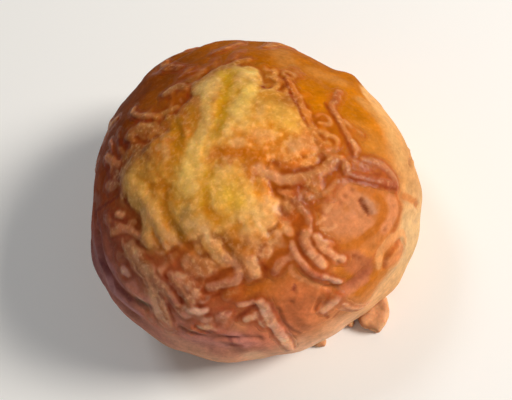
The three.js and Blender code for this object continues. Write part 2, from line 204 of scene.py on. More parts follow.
# Ridges and valleys of the pool: width, height and path on the map.
POOL_RIDGES = (
    (2.2, 0.9, ((8, 14), (4.6, 8.4), (2.6, 5), (-1, 2.8), (-4.4, 0.2), (-7, -2.6), (-9.6, -6.4),
                (-11, -10))),
    (2.4, 0.9, ((18, 13), (16, 6.6), (12, 4), (8, 2), (5, 0))),
    (2.6, 1.2, ((-18, 12), (-20.6, 7), (-20.4, 3), (-20.2, -1), (-19.8, -4))),
    (1.6, 1.2, ((-21.6, -2.4), (-23, -4.6), (-25, -7.4), (-25.8, -9.6))),
    (1.8, 1.3, ((-20.2, -4.6), (-20.8, -8), (-21, -12))),
    (2.0, 0.9, ((-13.4, -9.6), (-14.4, -12.4), (-15.6, -14.4))),
    (3.6, 1.0, ((-2, -9), (-2, -14), (-1, -19))),
    (2.8, 0.7, ((17, 0), (18.6, -5), (18, -9))),
)
POOL_VALLEYS = (
    (1.5, 0.7, ((13.6, 14), (11.6, 10.4), (8.4, 7), (6, 3), (2.4, 0.6))),
    (2.0, 0.6, ((-4.6, 7.6), (-6.2, 4.8), (-8.4, 2.4), (-11, 0))),
    (1.5, 0.7, ((-4, -5.6), (-6.6, -9), (-9, -11.6), (-8.8, -16))),
    (1.2, 0.9, ((-13.2, -2), (-15.2, -2.8), (-16.8, -4.6), (-17.2, -7.6), (-17, -10.6), (-17.6, -14))),
    (0.9, 1.0, ((-22, -6.4), (-23.2, -9), (-23.2, -11.6))),
    (1.6, 0.7, ((0.4, -3), (4.2, -6.2), (7.4, -9))),
    (1.1, 0.7, ((5.4, -9.6), (3.6, -13), (3, -17))),
)


# ---- Number tools ----


def noise(points, size, seed):
    """Smooth noise of about -1 to 1 whose lumps are about size across, at each of the points."""
    rng = np.random.default_rng(seed)
    table = np.tile(rng.permutation(256), 2)
    slopes = rng.normal(size=(256, 3))
    slopes /= np.linalg.norm(slopes, axis=1)[:, None]
    place = np.asarray(points, float) / size + 100.0
    cell = np.floor(place).astype(int)
    local = place - cell
    cell &= 255
    fade = local**3 * (local * (local * 6 - 15) + 10)
    total = np.zeros(len(place))
    for corner in np.ndindex(2, 2, 2):
        x, y, z = ((cell + corner) & 255).T
        slope = slopes[table[table[table[x] + y] + z]]
        weight = np.prod(np.where(corner, fade, 1 - fade), axis=1)
        total += weight * np.einsum("ij,ij->i", slope, local - corner)
    return 1.7 * total


def fractal(points, size, seed, octaves=3, gain=0.5):
    """Noise with finer and weaker noise added to it."""
    total = np.zeros(len(points))
    for octave in range(octaves):
        total += gain**octave * noise(points, size / 2**octave, seed + octave)
    return total


def smoothstep(low, high, value):
    """A soft step from 0 at low to 1 at high."""
    share = np.clip((value - low) / (high - low), 0, 1)
    return share * share * (3 - 2 * share)


def to_path(points, line):
    """Each point's distance to a line of points, and how far along the line, from 0 to 1, it is nearest."""
    best = np.full(len(points), np.inf)
    along = np.zeros(len(points))
    count = len(line) - 1
    for i in range(count):
        start, step = line[i], line[i + 1] - line[i]
        share = np.clip((points - start) @ step / max(step @ step, 1e-9), 0, 1)
        gap = np.linalg.norm(points - start - share[:, None] * step, axis=1)
        closer = gap < best
        best[closer] = gap[closer]
        along[closer] = (i + share[closer]) / count
    return best, along


def bell(away):
    """1 where away is 0, and nearly gone where it is 2."""
    return np.exp(-away * away)


def hump(u, v, centre, radius):
    """A soft round hump on the map, 1 at its centre and nearly gone at twice its radius."""
    return bell(np.hypot(u - centre[0], v - centre[1]) / radius)


def linear(red, green, blue):
    """A colour given as 0 to 255 on screen, in the linear numbers that shaders use."""
    screen = np.array((red, green, blue)) / 255
    return np.where(screen <= 0.04045, screen / 12.92, ((screen + 0.055) / 1.055) ** 2.4)


# ---- The crust and its map ----


def half_section(steps=2000):
    """Length, radius and height along the bun's half section, from the top to the rim of the base."""
    turn = np.linspace(0, math.pi / 2, steps)
    cosine = np.maximum(np.cos(turn), 0)
    radius, base_radius = WIDTH / 2, BASE_WIDTH / 2
    dome_r = radius * np.sin(turn) ** (2 / DOME_POWER)
    dome_z = WAIST_HEIGHT + (HEIGHT - WAIST_HEIGHT) * cosine ** (2 / DOME_POWER)
    foot_r = base_radius + (radius - base_radius) * cosine ** (2 / FOOT_POWER)
    foot_z = WAIST_HEIGHT - WAIST_HEIGHT * np.sin(turn) ** (2 / FOOT_POWER)
    r = np.concatenate([dome_r, foot_r[1:]])
    z = np.concatenate([dome_z, foot_z[1:]])
    s = np.concatenate([[0], np.cumsum(np.hypot(np.diff(r), np.diff(z)))])
    return s, r, z


SECTION_S, SECTION_R, SECTION_Z = half_section()
RIM = SECTION_S[-1]


def smooth_crust(u, v):
    """The crust without swells and folds."""
    s = np.hypot(u, v)
    angle = np.arctan2(v, u)
    lobe = sum(share * np.cos(count * (angle - math.radians(first))) for count, share, first in PLAN_LOBES)
    reach = np.interp(s, SECTION_S, SECTION_R) * (1 + lobe * np.clip(s / LOBES_FULL_AT, 0, 1))
    height = np.interp(s, SECTION_S, SECTION_Z)
    return np.stack([reach * np.cos(angle), reach * np.sin(angle), height], axis=-1)


def crust_normal(u, v, step=0.25):
    """The direction straight out of the smooth crust."""
    along_u = smooth_crust(u + step, v) - smooth_crust(u - step, v)
    along_v = smooth_crust(u, v + step) - smooth_crust(u, v - step)
    normal = np.cross(along_u, along_v)
    return normal / np.linalg.norm(normal, axis=-1, keepdims=True)


def relief(u, v):
    """How far the crust of the solids stands out from its smooth form."""
    height = SWELL * np.sin(u / 8.5 + 0.6) * np.cos(v / 7.5 - 0.4)
    height = height + 0.6 * SWELL * np.sin((u + v) / 5.2) * np.sin((u - v) / 6.1 + 1.1)
    spots = np.stack([u, v], axis=-1).reshape(-1, 2)
    for path, width, depth in FOLDS:
        away = (to_path(spots, np.array(path, float))[0] / width).reshape(np.shape(u))
        height = height + depth * (0.6 * bell(away - 2) - bell(away))
    for centre, radius, rise in BLISTERS:
        height = height + rise * hump(u, v, centre, radius)
    return height * np.clip((RIM - np.hypot(u, v)) / RELIEF_FADE, 0, 1)


def crust_point(u, v, height=0.0):
    """The point of the crust of the solids over a place on the map, or one at a height over it."""
    lift = relief(u, v) + height
    return smooth_crust(u, v) + crust_normal(u, v) * np.asarray(lift)[..., None]


def place_in_frame():
    """How far the map's own axis lies from the frame's, in millimetres."""
    angle = np.linspace(0, 2 * math.pi, 720)
    u, v = (60 * np.cos(angle), 60 * np.sin(angle))
    low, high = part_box("bun")
    widest = np.concatenate([crust_point(s / 60 * u, s / 60 * v) for s in np.linspace(50, 72, 12)])
    middle = (widest.min(0) + widest.max(0)) / 2
    x = (low.x + high.x) / 2 / MM - middle[0]
    y = (low.y + high.y) / 2 / MM - middle[1]
    return np.array([x, y, low.z / MM])


SHIFT = place_in_frame()


def curve_on_map(path, step=1.0):
    """A smooth line on the map through the points of a path, as even steps."""
    points = np.array(path, float)
    ends = np.vstack([2 * points[0] - points[1], points, 2 * points[-1] - points[-2]])
    t = np.linspace(0, 1, 24, endpoint=False)[:, None]
    pieces = []
    for a, b, c, d in zip(ends, ends[1:], ends[2:], ends[3:]):
        square, cube = 2 * a - 5 * b + 4 * c - d, 3 * b - a - 3 * c + d
        pieces.append(0.5 * (2 * b + (c - a) * t + square * t**2 + cube * t**3))
    fine = np.vstack([*pieces, points[-1:]])
    length = np.concatenate([[0], np.cumsum(np.linalg.norm(np.diff(fine, axis=0), axis=1))])
    even = np.linspace(0, length[-1], max(3, round(length[-1] / step) + 1))
    return np.stack([np.interp(even, length, fine[:, i]) for i in range(2)], axis=1)


def widths_off(spots, path, width):
    """How many widths each place on the map is away from the line through a path."""
    return to_path(spots, curve_on_map(path))[0] / width


# ---- Mesh tools ----


def in_scene(name, data):
    """A new object of the scene with a mesh, light or camera."""
    thing = bpy.data.objects.new(name, data)
    bpy.context.scene.collection.objects.link(thing)
    return thing


def make_piece(name, points, faces, replaced):
    """A piece of the part from points in millimetres, round the map's axis, and faces."""
    mesh = bpy.data.meshes.new(name)
    mesh.from_pydata(((points + SHIFT) * MM).tolist(), [], faces)
    mesh.validate()
    mesh.shade_smooth()
    piece = in_scene(name, mesh)
    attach(piece, "root")
    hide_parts(*replaced)
    return piece


def grid_faces(rows, columns):
    """Quads between rows of points, each row closed on itself."""
    row, column = np.meshgrid(np.arange(rows - 1), np.arange(columns), indexing="ij")
    after = (column + 1) % columns
    here, below = row * columns, (row + 1) * columns
    corners = (here + column, below + column, below + after, here + after)
    return np.stack(corners, axis=-1).reshape(-1, 4).tolist()


def set_paint(mesh, colours, glint_specks):
    """Stores the paint of a mesh, and in its alpha how much of it is covered with pale specks (painted
    glints).
    """
    layer = mesh.attributes.new("paint", "FLOAT_COLOR", "POINT")
    glint_specks = np.broadcast_to(glint_specks, len(colours))[:, None]
    rgba = np.concatenate([np.clip(colours, 0, 1), glint_specks], axis=1)
    layer.data.foreach_set("color", rgba.astype(np.float32).ravel())


def read_mesh(mesh):
    """The points of a mesh in metres, and its edges."""
    points = np.empty(len(mesh.vertices) * 3, np.float32)
    mesh.vertices.foreach_get("co", points)
    edges = np.empty(len(mesh.edges) * 2, np.int32)
    mesh.edges.foreach_get("vertices", edges)
    return points.reshape(-1, 3).astype(float), edges.reshape(-1, 2)


def set_points(mesh, points):
    """Moves the points of a mesh to places in millimetres, round the map's axis."""
    mesh.vertices.foreach_set("co", ((points + SHIFT) * MM).ravel())
    mesh.update()


def relax(values, edges, rounds, strength=0.5):
    """Moves each point's value towards the mean of its neighbours, round by round."""
    values = values.copy()
    count = np.bincount(edges.ravel(), minlength=len(values)).astype(float)
    shape = (-1,) + (1,) * (values.ndim - 1)
    ends, others = edges.ravel(), edges[:, ::-1].ravel()
    for _ in range(rounds):
        columns = values[others].reshape(len(others), -1).T
        total = np.stack([np.bincount(ends, column, len(values)) for column in columns], axis=1)
        values += strength * (total.reshape(values.shape) / count.reshape(shape) - values)
    return values


def normals_of(mesh):
    """The directions straight out of a mesh at its points."""
    normals = np.empty(len(mesh.vertices) * 3, np.float32)
    mesh.vertex_normals.foreach_get("vector", normals)
    return normals.reshape(-1, 3).astype(float)


# ---- Camera ----

# The view looks down steeply at the side with the scraps, with the picture's top turned to the left.
VIEW_ELEVATION = 62.0
VIEW_ROLL = 36.0
VIEW_DISTANCE = 0.235
VIEW_CENTRE = Vector((0, 0, 0.022)) + Vector(SHIFT * MM)
VIEW_TARGET = VIEW_CENTRE + Vector((0.0014, -0.0014, -0.00075))
LENS = 62.0


def make_camera():
    """The camera of the main view."""
    elevation = math.radians(VIEW_ELEVATION)
    place = VIEW_CENTRE + VIEW_DISTANCE * Vector((0, -math.cos(elevation), math.sin(elevation)))
    back = (place - VIEW_TARGET).normalized()
    upright = back.to_track_quat("Z", "Y").to_matrix().to_4x4()
    turn = Matrix.Rotation(math.radians(-VIEW_ROLL), 4, back)
    camera = in_scene("camera", bpy.data.cameras.new("camera"))
    camera.data.lens = LENS
    camera.data.clip_start = 0.01
    camera.matrix_world = Matrix.Translation(place) @ turn @ upright
    bpy.context.scene.camera = camera


# ---- Cheese: layout ----

# More shreds and strands, by zone of the map: centre, spread, how many, which way most of them run.
SMALL_SHREDS = (
    ((-13, 17), (9, 5), 14, 60), ((-3, 14), (6, 4), 8, 50), ((-24, 17), (4, 7), 6, 70),
    ((-28, -4), (3, 7), 3, 80), ((-30, -14), (4, 6), 5, 70), ((-37, -18), (3, 5), 5, 60),
    ((-20, -20), (6, 4), 16, -30), ((-25, -25), (5, 4), 12, -40), ((-15, -22), (5, 4), 14, -20),
    ((-24, -33), (5, 3), 6, -40), ((-6, -27), (6, 3), 14, -20), ((6, -23), (4, 4), 5, -60),
    ((11, -12), (6, 4), 22, -30), ((17, -17), (4, 4), 5, -30), ((13, -23), (6, 3), 4, 10),
    ((23, -12), (3, 6), 3, -70), ((24, 8), (4, 6), 8, 80), ((15, 20), (7, 3), 8, 10),
    ((2, 21), (7, 4), 8, 30), ((-8, 8), (6, 4), 14, 40),
)
SMALL_WIDTHS = (1.3, 2.6)
SMALL_LENGTHS = (2.5, 7.0)

# Strands that still show in the pool, by zone of the map.
POOL_STRANDS = (
    ((8, 10), (7, 6), 16, 45), ((-4, 0), (9, 6), 26, 42), ((13, -4), (6, 6), 18, 15),
    ((-19, 3), (5, 8), 20, 85), ((-14, -9), (5, 6), 18, 70), ((-3, -13), (6, 6), 18, 85),
    ((-3, -23), (6, 4), 22, 70), ((6, -9), (5, 4), 14, -40), ((-9, 9), (7, 5), 16, 30),
)
STRAND_WIDTHS = (1.8, 3.2)
STRAND_LENGTHS = (3.0, 8.0)

# Thickness of the pool and how far in it is reached, thickness of the film of fat and how far it goes
# past a shred, how deep the sheet's edges and underside lie in the crust, and the size of its beads.
POOL_THICKNESS = 1.3
POOL_EDGE = 1.8
FILM = 0.05
FILM_REACH = 1.5
SUNK = -0.4
UNDERSIDE = -0.8
BEAD_SIZE = 1.7


def scattered(zones, widths, lengths, seed):
    """Widths and paths of short pieces strewn over zones of the map."""
    rng = np.random.default_rng(seed)
    found = []
    for centre, spread, count, heading in zones:
        for _ in range(count):
            middle = np.array(centre) + rng.normal(size=2) * np.array(spread) * 0.6
            turn = math.radians(heading + rng.normal() * 32)
            reach = rng.uniform(*lengths) / 2 * np.array((math.cos(turn), math.sin(turn)))
            bend = rng.normal() * 0.3 * np.array((-reach[1], reach[0]))
            found.append((rng.uniform(*widths), (middle - reach, middle + bend, middle + reach)))
    return found


def pool_depth(u, v):
    """How far inside the pool's edge a place on the map is; negative outside."""
    melt = 1.5
    total = sum(np.exp((radius - np.hypot(u - at[0], v - at[1])) / melt) for at, radius in POOL)
    return melt * np.log(total)


def bubbles(u, v, size, seed):
    """Rounded bumps, about size across and from 0 to 1 high, crammed side by side."""
    rng = np.random.default_rng(seed)
    table = rng.random((64, 64, 2))
    column, row = np.floor(u / size).astype(int), np.floor(v / size).astype(int)
    nearest = np.full(np.shape(u), 9.0)
    for i in (-1, 0, 1):
        for j in (-1, 0, 1):
            seat = table[(column + i) % 64, (row + j) % 64]
            away = np.hypot(column + i + seat[..., 0] - u / size, row + j + seat[..., 1] - v / size)
            nearest = np.minimum(nearest, away)
    return np.clip(1 - 2 * nearest**2, 0, 1)


def blurred(grid, rounds):
    """The grid with each value blended with those next to it, round by round."""
    for _ in range(rounds):
        grid = np.pad(grid, 1, mode="edge")
        grid = (grid[:-2] + 2 * grid[1:-1] + grid[2:]) / 4
        grid = (grid[:, :-2] + 2 * grid[:, 1:-1] + grid[:, 2:]) / 4
    return grid


def joined(a, b, blend):
    """The higher of two heights, with a rounded corner where they cross."""
    near = np.maximum(blend - np.abs(a - b), 0) / blend
    return np.maximum(a, b) + near * near * blend / 4


class Topping:
    """The cheese on a fine grid of the map: its height over the crust, and what colours it."""

    step = 0.25
    low = np.array((-46.0, -62.0))
    high = np.array((48.0, 52.0))

    def __init__(self):
        ranges = [np.arange(low, high, self.step) for low, high in zip(self.low, self.high)]
        self.u, self.v = np.meshgrid(*ranges, indexing="ij")
        self.shape = self.u.shape
        self.flat = np.stack([self.u.ravel(), self.v.ravel(), np.zeros(self.u.size)], axis=-1)
        wander = [0.4 * self.of_noise(3.4, seed) + 0.14 * self.of_noise(1.3, seed + 1) for seed in (71, 73)]
        self.bent = np.stack([self.u, self.v], axis=-1) + np.stack(wander, axis=-1)
        self.spots = self.bent.reshape(-1, 2)
        self.swell = self.of_noise(2.2, 75) * 0.2 + self.of_noise(1.1, 76) * 0.14
        self.line = np.zeros(self.shape)
        self.tint = np.zeros(self.shape)
        self.crown = np.zeros(self.shape)

    def of_noise(self, size, seed):
        """Smooth noise over the grid."""
        return noise(self.flat, size, seed).reshape(self.shape)

    def pour(self):
        """The body of the pool."""
        u, v = self.bent[..., 0], self.bent[..., 1]
        self.depth = pool_depth(u, v) + 0.9 * self.of_noise(4.0, 11) + 0.5 * self.of_noise(2.0, 12)
        thickness = POOL_THICKNESS + 0.15 * self.of_noise(6.0, 13)
        for paths, sign in ((POOL_RIDGES, 1), (POOL_VALLEYS, -1)):
            for width, height, path in paths:
                away = widths_off(self.spots, path, width).reshape(self.shape)
                thickness += sign * 0.4 * height * bell(away)
        self.ridge = np.clip(0.5 + (thickness - POOL_THICKNESS), 0, 1)
        edge = 1 - np.exp(-np.maximum(self.depth, 0) / POOL_EDGE)
        self.height = np.maximum(thickness, 0.5) * edge
        self.gap = np.maximum(-self.depth, 0)

    def lay(self, width, rise, path, line, tint, drape):
        """A shred along a path, over what is there already and melted into it.

        The dark line beside it, partly caramelised fat and partly painted shade, has a strength, the tint
        runs from -1 (dark) to 1 (pale), and the drape is the share of the height below that it keeps.
        """
        middle = curve_on_map(path, 0.8)
        reach = width / 2 + 3.0
        first = np.maximum(((middle.min(0) - reach - self.low) / self.step).astype(int), 0)
        last = ((middle.max(0) + reach - self.low) / self.step).astype(int)
        window = (slice(first[0], last[0]), slice(first[1], last[1]))
        spots = self.bent[window]
        away, along = (part.reshape(spots.shape[:2]) for part in to_path(spots.reshape(-1, 2), middle))
        half = width / 2 * (1 + self.swell[window]) * (1.12 - 0.15 * np.abs(2 * along - 1) ** 3)
        gap = away - half
        crown = np.clip(1 - (away / half) ** 2, 0, 1)
        under = self.height[window]
        laid = rise * (1 + self.swell[window]) * crown**0.75 + drape * under
        over = (gap < 0) & (laid > under - 0.1)
        self.height[window] = np.where(over, joined(laid, under, 0.2), under)
        # The dark line at the shred's edge and beside it: partly caramelised fat, partly painted shade.
        inner = line * bell(gap / 0.35)
        outer = line * bell(gap / 0.5)
        kept = np.where(gap > 0, np.maximum(self.line[window], outer), self.line[window])
        self.line[window] = np.where(over, inner, kept)
        self.tint[window] = np.where(over, tint, self.tint[window])
        self.crown[window] = np.where(over, crown, self.crown[window])
        self.gap[window] = np.minimum(self.gap[window], np.maximum(gap, 0))

    def settle(self):
        """Soft edges, bubbles and lumps, and a thin film of fat round each shred."""
        self.pool = smoothstep(-0.8, 2.4, self.depth + 0.8 * self.of_noise(1.8, 14))
        self.beads = blurred(bubbles(self.bent[..., 0], self.bent[..., 1], BEAD_SIZE, 83), 4)
        height = blurred(self.height, 4) * (1 - self.pool) + blurred(self.height, 8) * self.pool
        body = smoothstep(0.0, 0.4, height)
        lumps = 0.05 * self.of_noise(2.2, 81) + (0.08 + 0.05 * self.pool) * (self.beads - 0.4)
        height += body * lumps
        self.relative = height - blurred(height, 40)
        # Low places in and beside the cheese, which are darkened later as painted shade.
        self.hollow_shade = smoothstep(-0.02, -0.16, self.relative) * smoothstep(3.0, 1.0, self.gap)
        self.line = blurred(self.line, 2) * (1 - 0.9 * self.pool)
        for width, strength, path in CARAMEL_AND_SHADOW_LINES:
            away = widths_off(self.spots, path, width).reshape(self.shape)
            self.line = np.maximum(self.line, strength * bell(away))
        self.crown = blurred(self.crown, 2)
        self.film = blurred(smoothstep(2.4, 0.0, self.gap), 8)
        self.cover = blurred((self.gap < 0.5).astype(float), 1)
        film = FILM * (1 - (self.gap / 1.15) ** 2)
        around = np.where(self.gap < FILM_REACH, film, SUNK)
        self.height = np.where(self.gap <= 0, np.maximum(height, FILM), around)

    def at(self, name, u, v):
        """The values of one of the grids at other places on the map, zero outside it."""
        grid = getattr(self, name)
        x = (np.asarray(u) - self.low[0]) / self.step
        y = (np.asarray(v) - self.low[1]) / self.step
        inside = (x > 0) & (y > 0) & (x < self.shape[0] - 2) & (y < self.shape[1] - 2)
        x, y = np.where(inside, x, 0), np.where(inside, y, 0)
        i, j = x.astype(int), y.astype(int)
        x, y = x - i, y - j
        lower = grid[i, j] * (1 - x) + grid[i + 1, j] * x
        upper = grid[i, j + 1] * (1 - x) + grid[i + 1, j + 1] * x
        return np.where(inside, lower * (1 - y) + upper * y, 0.0)


def make_topping():
    """The pool, then the strands in it, the small shreds and the larger ones, each over the last."""
    topping = Topping()
    topping.pour()
    rng = np.random.default_rng(7)
    for width, path in scattered(POOL_STRANDS, STRAND_WIDTHS, STRAND_LENGTHS, 3):
        topping.lay(width, rng.uniform(0.08, 0.25), path, line=0.0, tint=0.0, drape=0.92)
    for width, path in scattered(SMALL_SHREDS, SMALL_WIDTHS, SMALL_LENGTHS, 5):
        rise = rng.uniform(0.05, 0.12) * width
        topping.lay(width, rise, path, line=0.2, tint=rng.normal() * 0.3, drape=0.6)
    for width, rise, tone, path in SHREDS:
        topping.lay(width, 0.85 * rise, path, line=0.4, tint=tone, drape=0.5)
    topping.settle()
    return topping


# ---- Colours ----

# Much of the tables of shreds above and of colours and strokes below is what programs printed from
# the photo, typed in rounded, and this is a failure.

AMBER = (178, 101, 0)
GOLDEN = (156, 84, 0)
BROWN = (130, 66, 0)
MAHOGANY = (140, 55, 14)
MAUVE = (186, 122, 103)
DUSKY_PINK = (176, 107, 86)
RED_BROWN = (178, 84, 38)
TERRACOTTA = (190, 102, 62)
PEACH = (188, 112, 60)
ORANGE = (198, 120, 48)
CREAM = (204, 148, 88)
LIGHT_BROWN = (212, 150, 96)
PALE_BROWN = (222, 156, 108)
DUSTY = (190, 134, 102)

# Where the crust is browned how: a place on the map, how far it reaches, and the colour. The darkest
# patches at the upper left are partly deeper browning and partly painted shade on that dim side, and
# the mauve and pink ones on the left partly paint the cool sky light that falls there.
CRUST_COLOURS = (
    ((34, -9), 10, AMBER), ((30, 4), 9, AMBER), ((27, -18), 7, AMBER), ((22, 24), 9, (150, 77, 0)),
    ((36, 14), 9, GOLDEN), ((6, 28), 8, (123, 58, 0)), ((-8, 34), 9, (116, 42, 0)),
    ((-24, 28), 9, (110, 36, 0)), ((-33, 14), 8, MAHOGANY), ((-30, -2), 8, MAHOGANY),
    ((-43, 2), 7, (146, 104, 108)), ((-45, -14), 7, MAUVE), ((-38, -32), 7, (202, 135, 120)),
    ((-29, -43), 7, DUSKY_PINK), ((-22, -28), 7, RED_BROWN), ((-14, -34), 5, AMBER),
    ((-10, -42), 6, TERRACOTTA), ((-6, -50), 7, TERRACOTTA), ((6, -52), 7, PEACH),
    ((16, -34), 8, (180, 106, 56)), ((26, -38), 8, PEACH), ((14, -50), 6, AMBER),
    ((10, -24), 6, (151, 73, 0)), ((0, -28), 6, AMBER), ((0, 0), 16, AMBER), ((40, -24), 6, ORANGE),
    ((32, -48), 6, ORANGE), ((18, -60), 7, (184, 110, 48)), ((0, -62), 7, PALE_BROWN),
    ((-34, 40), 9, MAHOGANY), ((0, 50), 9, BROWN), ((30, 38), 9, GOLDEN), ((48, 12), 7, GOLDEN),
)

# Marks on the crust: colour, half width, strength and path. The thin pale lines on the lower panel
# are painted highlights on creases, the pale line along the blister's upper ridge is painted light,
# the peach patch on the panel is partly painted sheen, and the dark lines in creases and folds are
# painted shade.
CRUST_MARKS = (
    ((192, 120, 76), 3.0, 0.9, ((13, -31.5), (16, -34))),
    ((192, 120, 76), 2.3, 0.9, ((15, -28), (18, -26), (20, -30), (19, -35))),
    ((212, 144, 96), 0.5, 0.8, ((9.6, -29.6), (12, -29.2), (14.6, -27.6), (16.8, -24.6))),
    ((212, 144, 96), 0.5, 0.8, ((9.8, -31.6), (11.4, -32.4), (13, -32.2))),
    ((194, 122, 78), 1.6, 0.9, ((28.7, -33.6), (28.4, -36.6), (24, -39.2))),
    ((172, 94, 30), 1.2, 0.9, ((23, -27.6), (25.5, -31.5), (25, -35), (20.4, -37.9), (13, -38.6),
                               (10, -36.4))),
    ((164, 86, 40), 0.5, 0.7, ((31, -32.6), (31, -36.8), (27, -41), (20, -43.6), (15, -45.6))),
    ((164, 90, 20), 1.6, 0.8, ((7.6, -42.5), (10, -46))),
    ((168, 94, 62), 3.0, 0.7, ((12, -42), (14, -46))),
    ((176, 96, 16), 2.4, 0.7, ((10.5, -51), (15, -49.5))),
    ((206, 142, 88), 1.0, 0.8, ((18, -47.5), (20.5, -44), (25, -42.6), (30.5, -44), (32, -48))),
    ((196, 112, 50), 1.0, 0.6, ((34.5, -35), (38, -37.5), (41.5, -40))),
    ((150, 70, 38), 0.6, 0.8, ((2.2, -46.8), (0.3, -48.8), (-1.8, -51.6), (-2.4, -55))),
    ((160, 80, 48), 0.5, 0.6, ((5, -51), (3.4, -54.5), (-1, -57.5))),
    ((140, 84, 76), 0.7, 0.7, ((-38, -26), (-35.4, -31.4), (-33.4, -37))),
    ((140, 84, 76), 0.6, 0.7, ((-32.4, -33), (-30.2, -36.4), (-29, -41))),
    ((130, 74, 66), 1.0, 0.7, ((-32.6, -42), (-30.6, -43.6))),
)

# Where the pale foot starts: direction on the map in degrees, distance from the top, softness.
PALE_FROM = (
    (-165, 60, 6), (-140, 58, 7), (-120, 60, 7), (-100, 64, 6), (-80, 62, 5), (-68, 57, 4),
    (-55, 50, 3), (-42, 46, 3.0), (-28, 43, 3.0), (-14, 42.5, 2.4), (-5, 45.5, 1.2), (3, 52, 2),
    (20, 56, 5), (60, 60, 6), (100, 61, 6), (150, 62, 6),
)
PALE_COLOURS = (
    ((46, -10), 8, CREAM), ((44, -30), 8, (182, 128, 76)), ((36, -52), 9, (200, 164, 118)),
    ((16, -66), 9, LIGHT_BROWN), ((-10, -68), 9, (226, 178, 148)), ((-36, -56), 9, (218, 154, 120)),
    ((-60, -30), 10, DUSTY), ((-66, 0), 10, DUSTY), ((-50, 40), 12, PALE_BROWN), ((0, 66), 12, CREAM),
    ((46, 46), 12, CREAM), ((64, 8), 10, CREAM),
)

# The cheese: a place on the map, how far it reaches, the colour where it is low and that of its tops.
# The low colours are partly painted shade and the top colours partly painted highlight.
CHEESE_COLOURS = (
    ((12, 15), 4, (200, 149, 26), (216, 190, 106)), ((19, 11), 3, (208, 162, 70), (217, 188, 124)),
    ((15, 7), 3, (206, 160, 22), (237, 200, 104)), ((7, 15), 3, (200, 126, 24), (234, 198, 143)),
    ((5, 5), 3, (188, 115, 0), (210, 159, 60)), ((10, 1), 3.5, (204, 154, 50), (217, 183, 114)),
    ((17, -6), 3, (228, 179, 26), (229, 173, 68)), ((18, 1), 2, (168, 94, 0), (188, 142, 42)),
    ((0, 2), 3, (230, 164, 44), (238, 192, 108)), ((-7, -3), 3.5, (208, 146, 38), (236, 192, 106)),
    ((-5, 7), 3, (222, 131, 0), (193, 128, 14)), ((2, 9), 2.5, (194, 100, 0), (196, 123, 20)),
    ((-13, 2), 2.5, (187, 105, 0), (203, 146, 50)), ((-19, 6), 4, (184, 126, 30), (214, 168, 78)),
    ((-22, -6), 3.5, (226, 146, 38), (196, 151, 82)), ((-17, -4), 2, (200, 119, 0), (192, 141, 46)),
    ((-14, -11), 3, (236, 158, 31), (211, 167, 97)), ((-10, -8), 2.5, (184, 114, 4), (204, 150, 60)),
    ((-3, -14), 3.5, (224, 169, 42), (218, 176, 90)), ((0, -8), 2.5, (196, 134, 20), (232, 176, 84)),
    ((-2, -22), 3.5, (219, 149, 39), (230, 194, 126)), ((-9, -17), 2.5, (192, 120, 9), (208, 157, 65)),
    ((-13, -21), 3, (244, 175, 58), (248, 198, 126)), ((-9, -29), 2.5, (207, 119, 34), (215, 177, 120)),
    ((25, 10), 8, (168, 81, 1), (184, 115, 32)), ((26, -10), 8, (192, 100, 14), (217, 156, 88)),
    ((30, -26), 7, (154, 70, 30), (186, 118, 70)), ((12, -13), 8, (230, 130, 13), (218, 148, 70)),
    ((14, -22), 6, (170, 72, 6), (192, 118, 62)), ((6, -36), 7, (206, 109, 40), (217, 163, 120)),
    ((-6, -34), 7, (154, 66, 16), (190, 114, 70)), ((-16, -46), 8, (194, 104, 58), (212, 158, 126)),
    ((-17, -28), 7, (180, 80, 19), (208, 137, 91)), ((-28, -28), 7, (180, 92, 54), (206, 159, 128)),
    ((-37, -18), 7, (222, 140, 104), (226, 178, 144)), ((-30, -4), 7, (156, 76, 42), (190, 119, 78)),
    ((-34, 16), 8, (120, 58, 43), (168, 101, 76)), ((-22, 18), 7, (125, 40, 2), (158, 92, 48)),
    ((-10, 18), 7, (120, 54, 2), (163, 104, 42)), ((-4, 12), 6, (208, 99, 1), (204, 135, 52)),
    ((4, 24), 8, (128, 51, 0), (158, 84, 24)), ((16, 20), 7, (151, 63, 0), (180, 100, 40)),
    ((0, 44), 14, (140, 66, 10), (180, 108, 52)), ((34, 26), 10, (149, 73, 2), (166, 100, 22)),
)
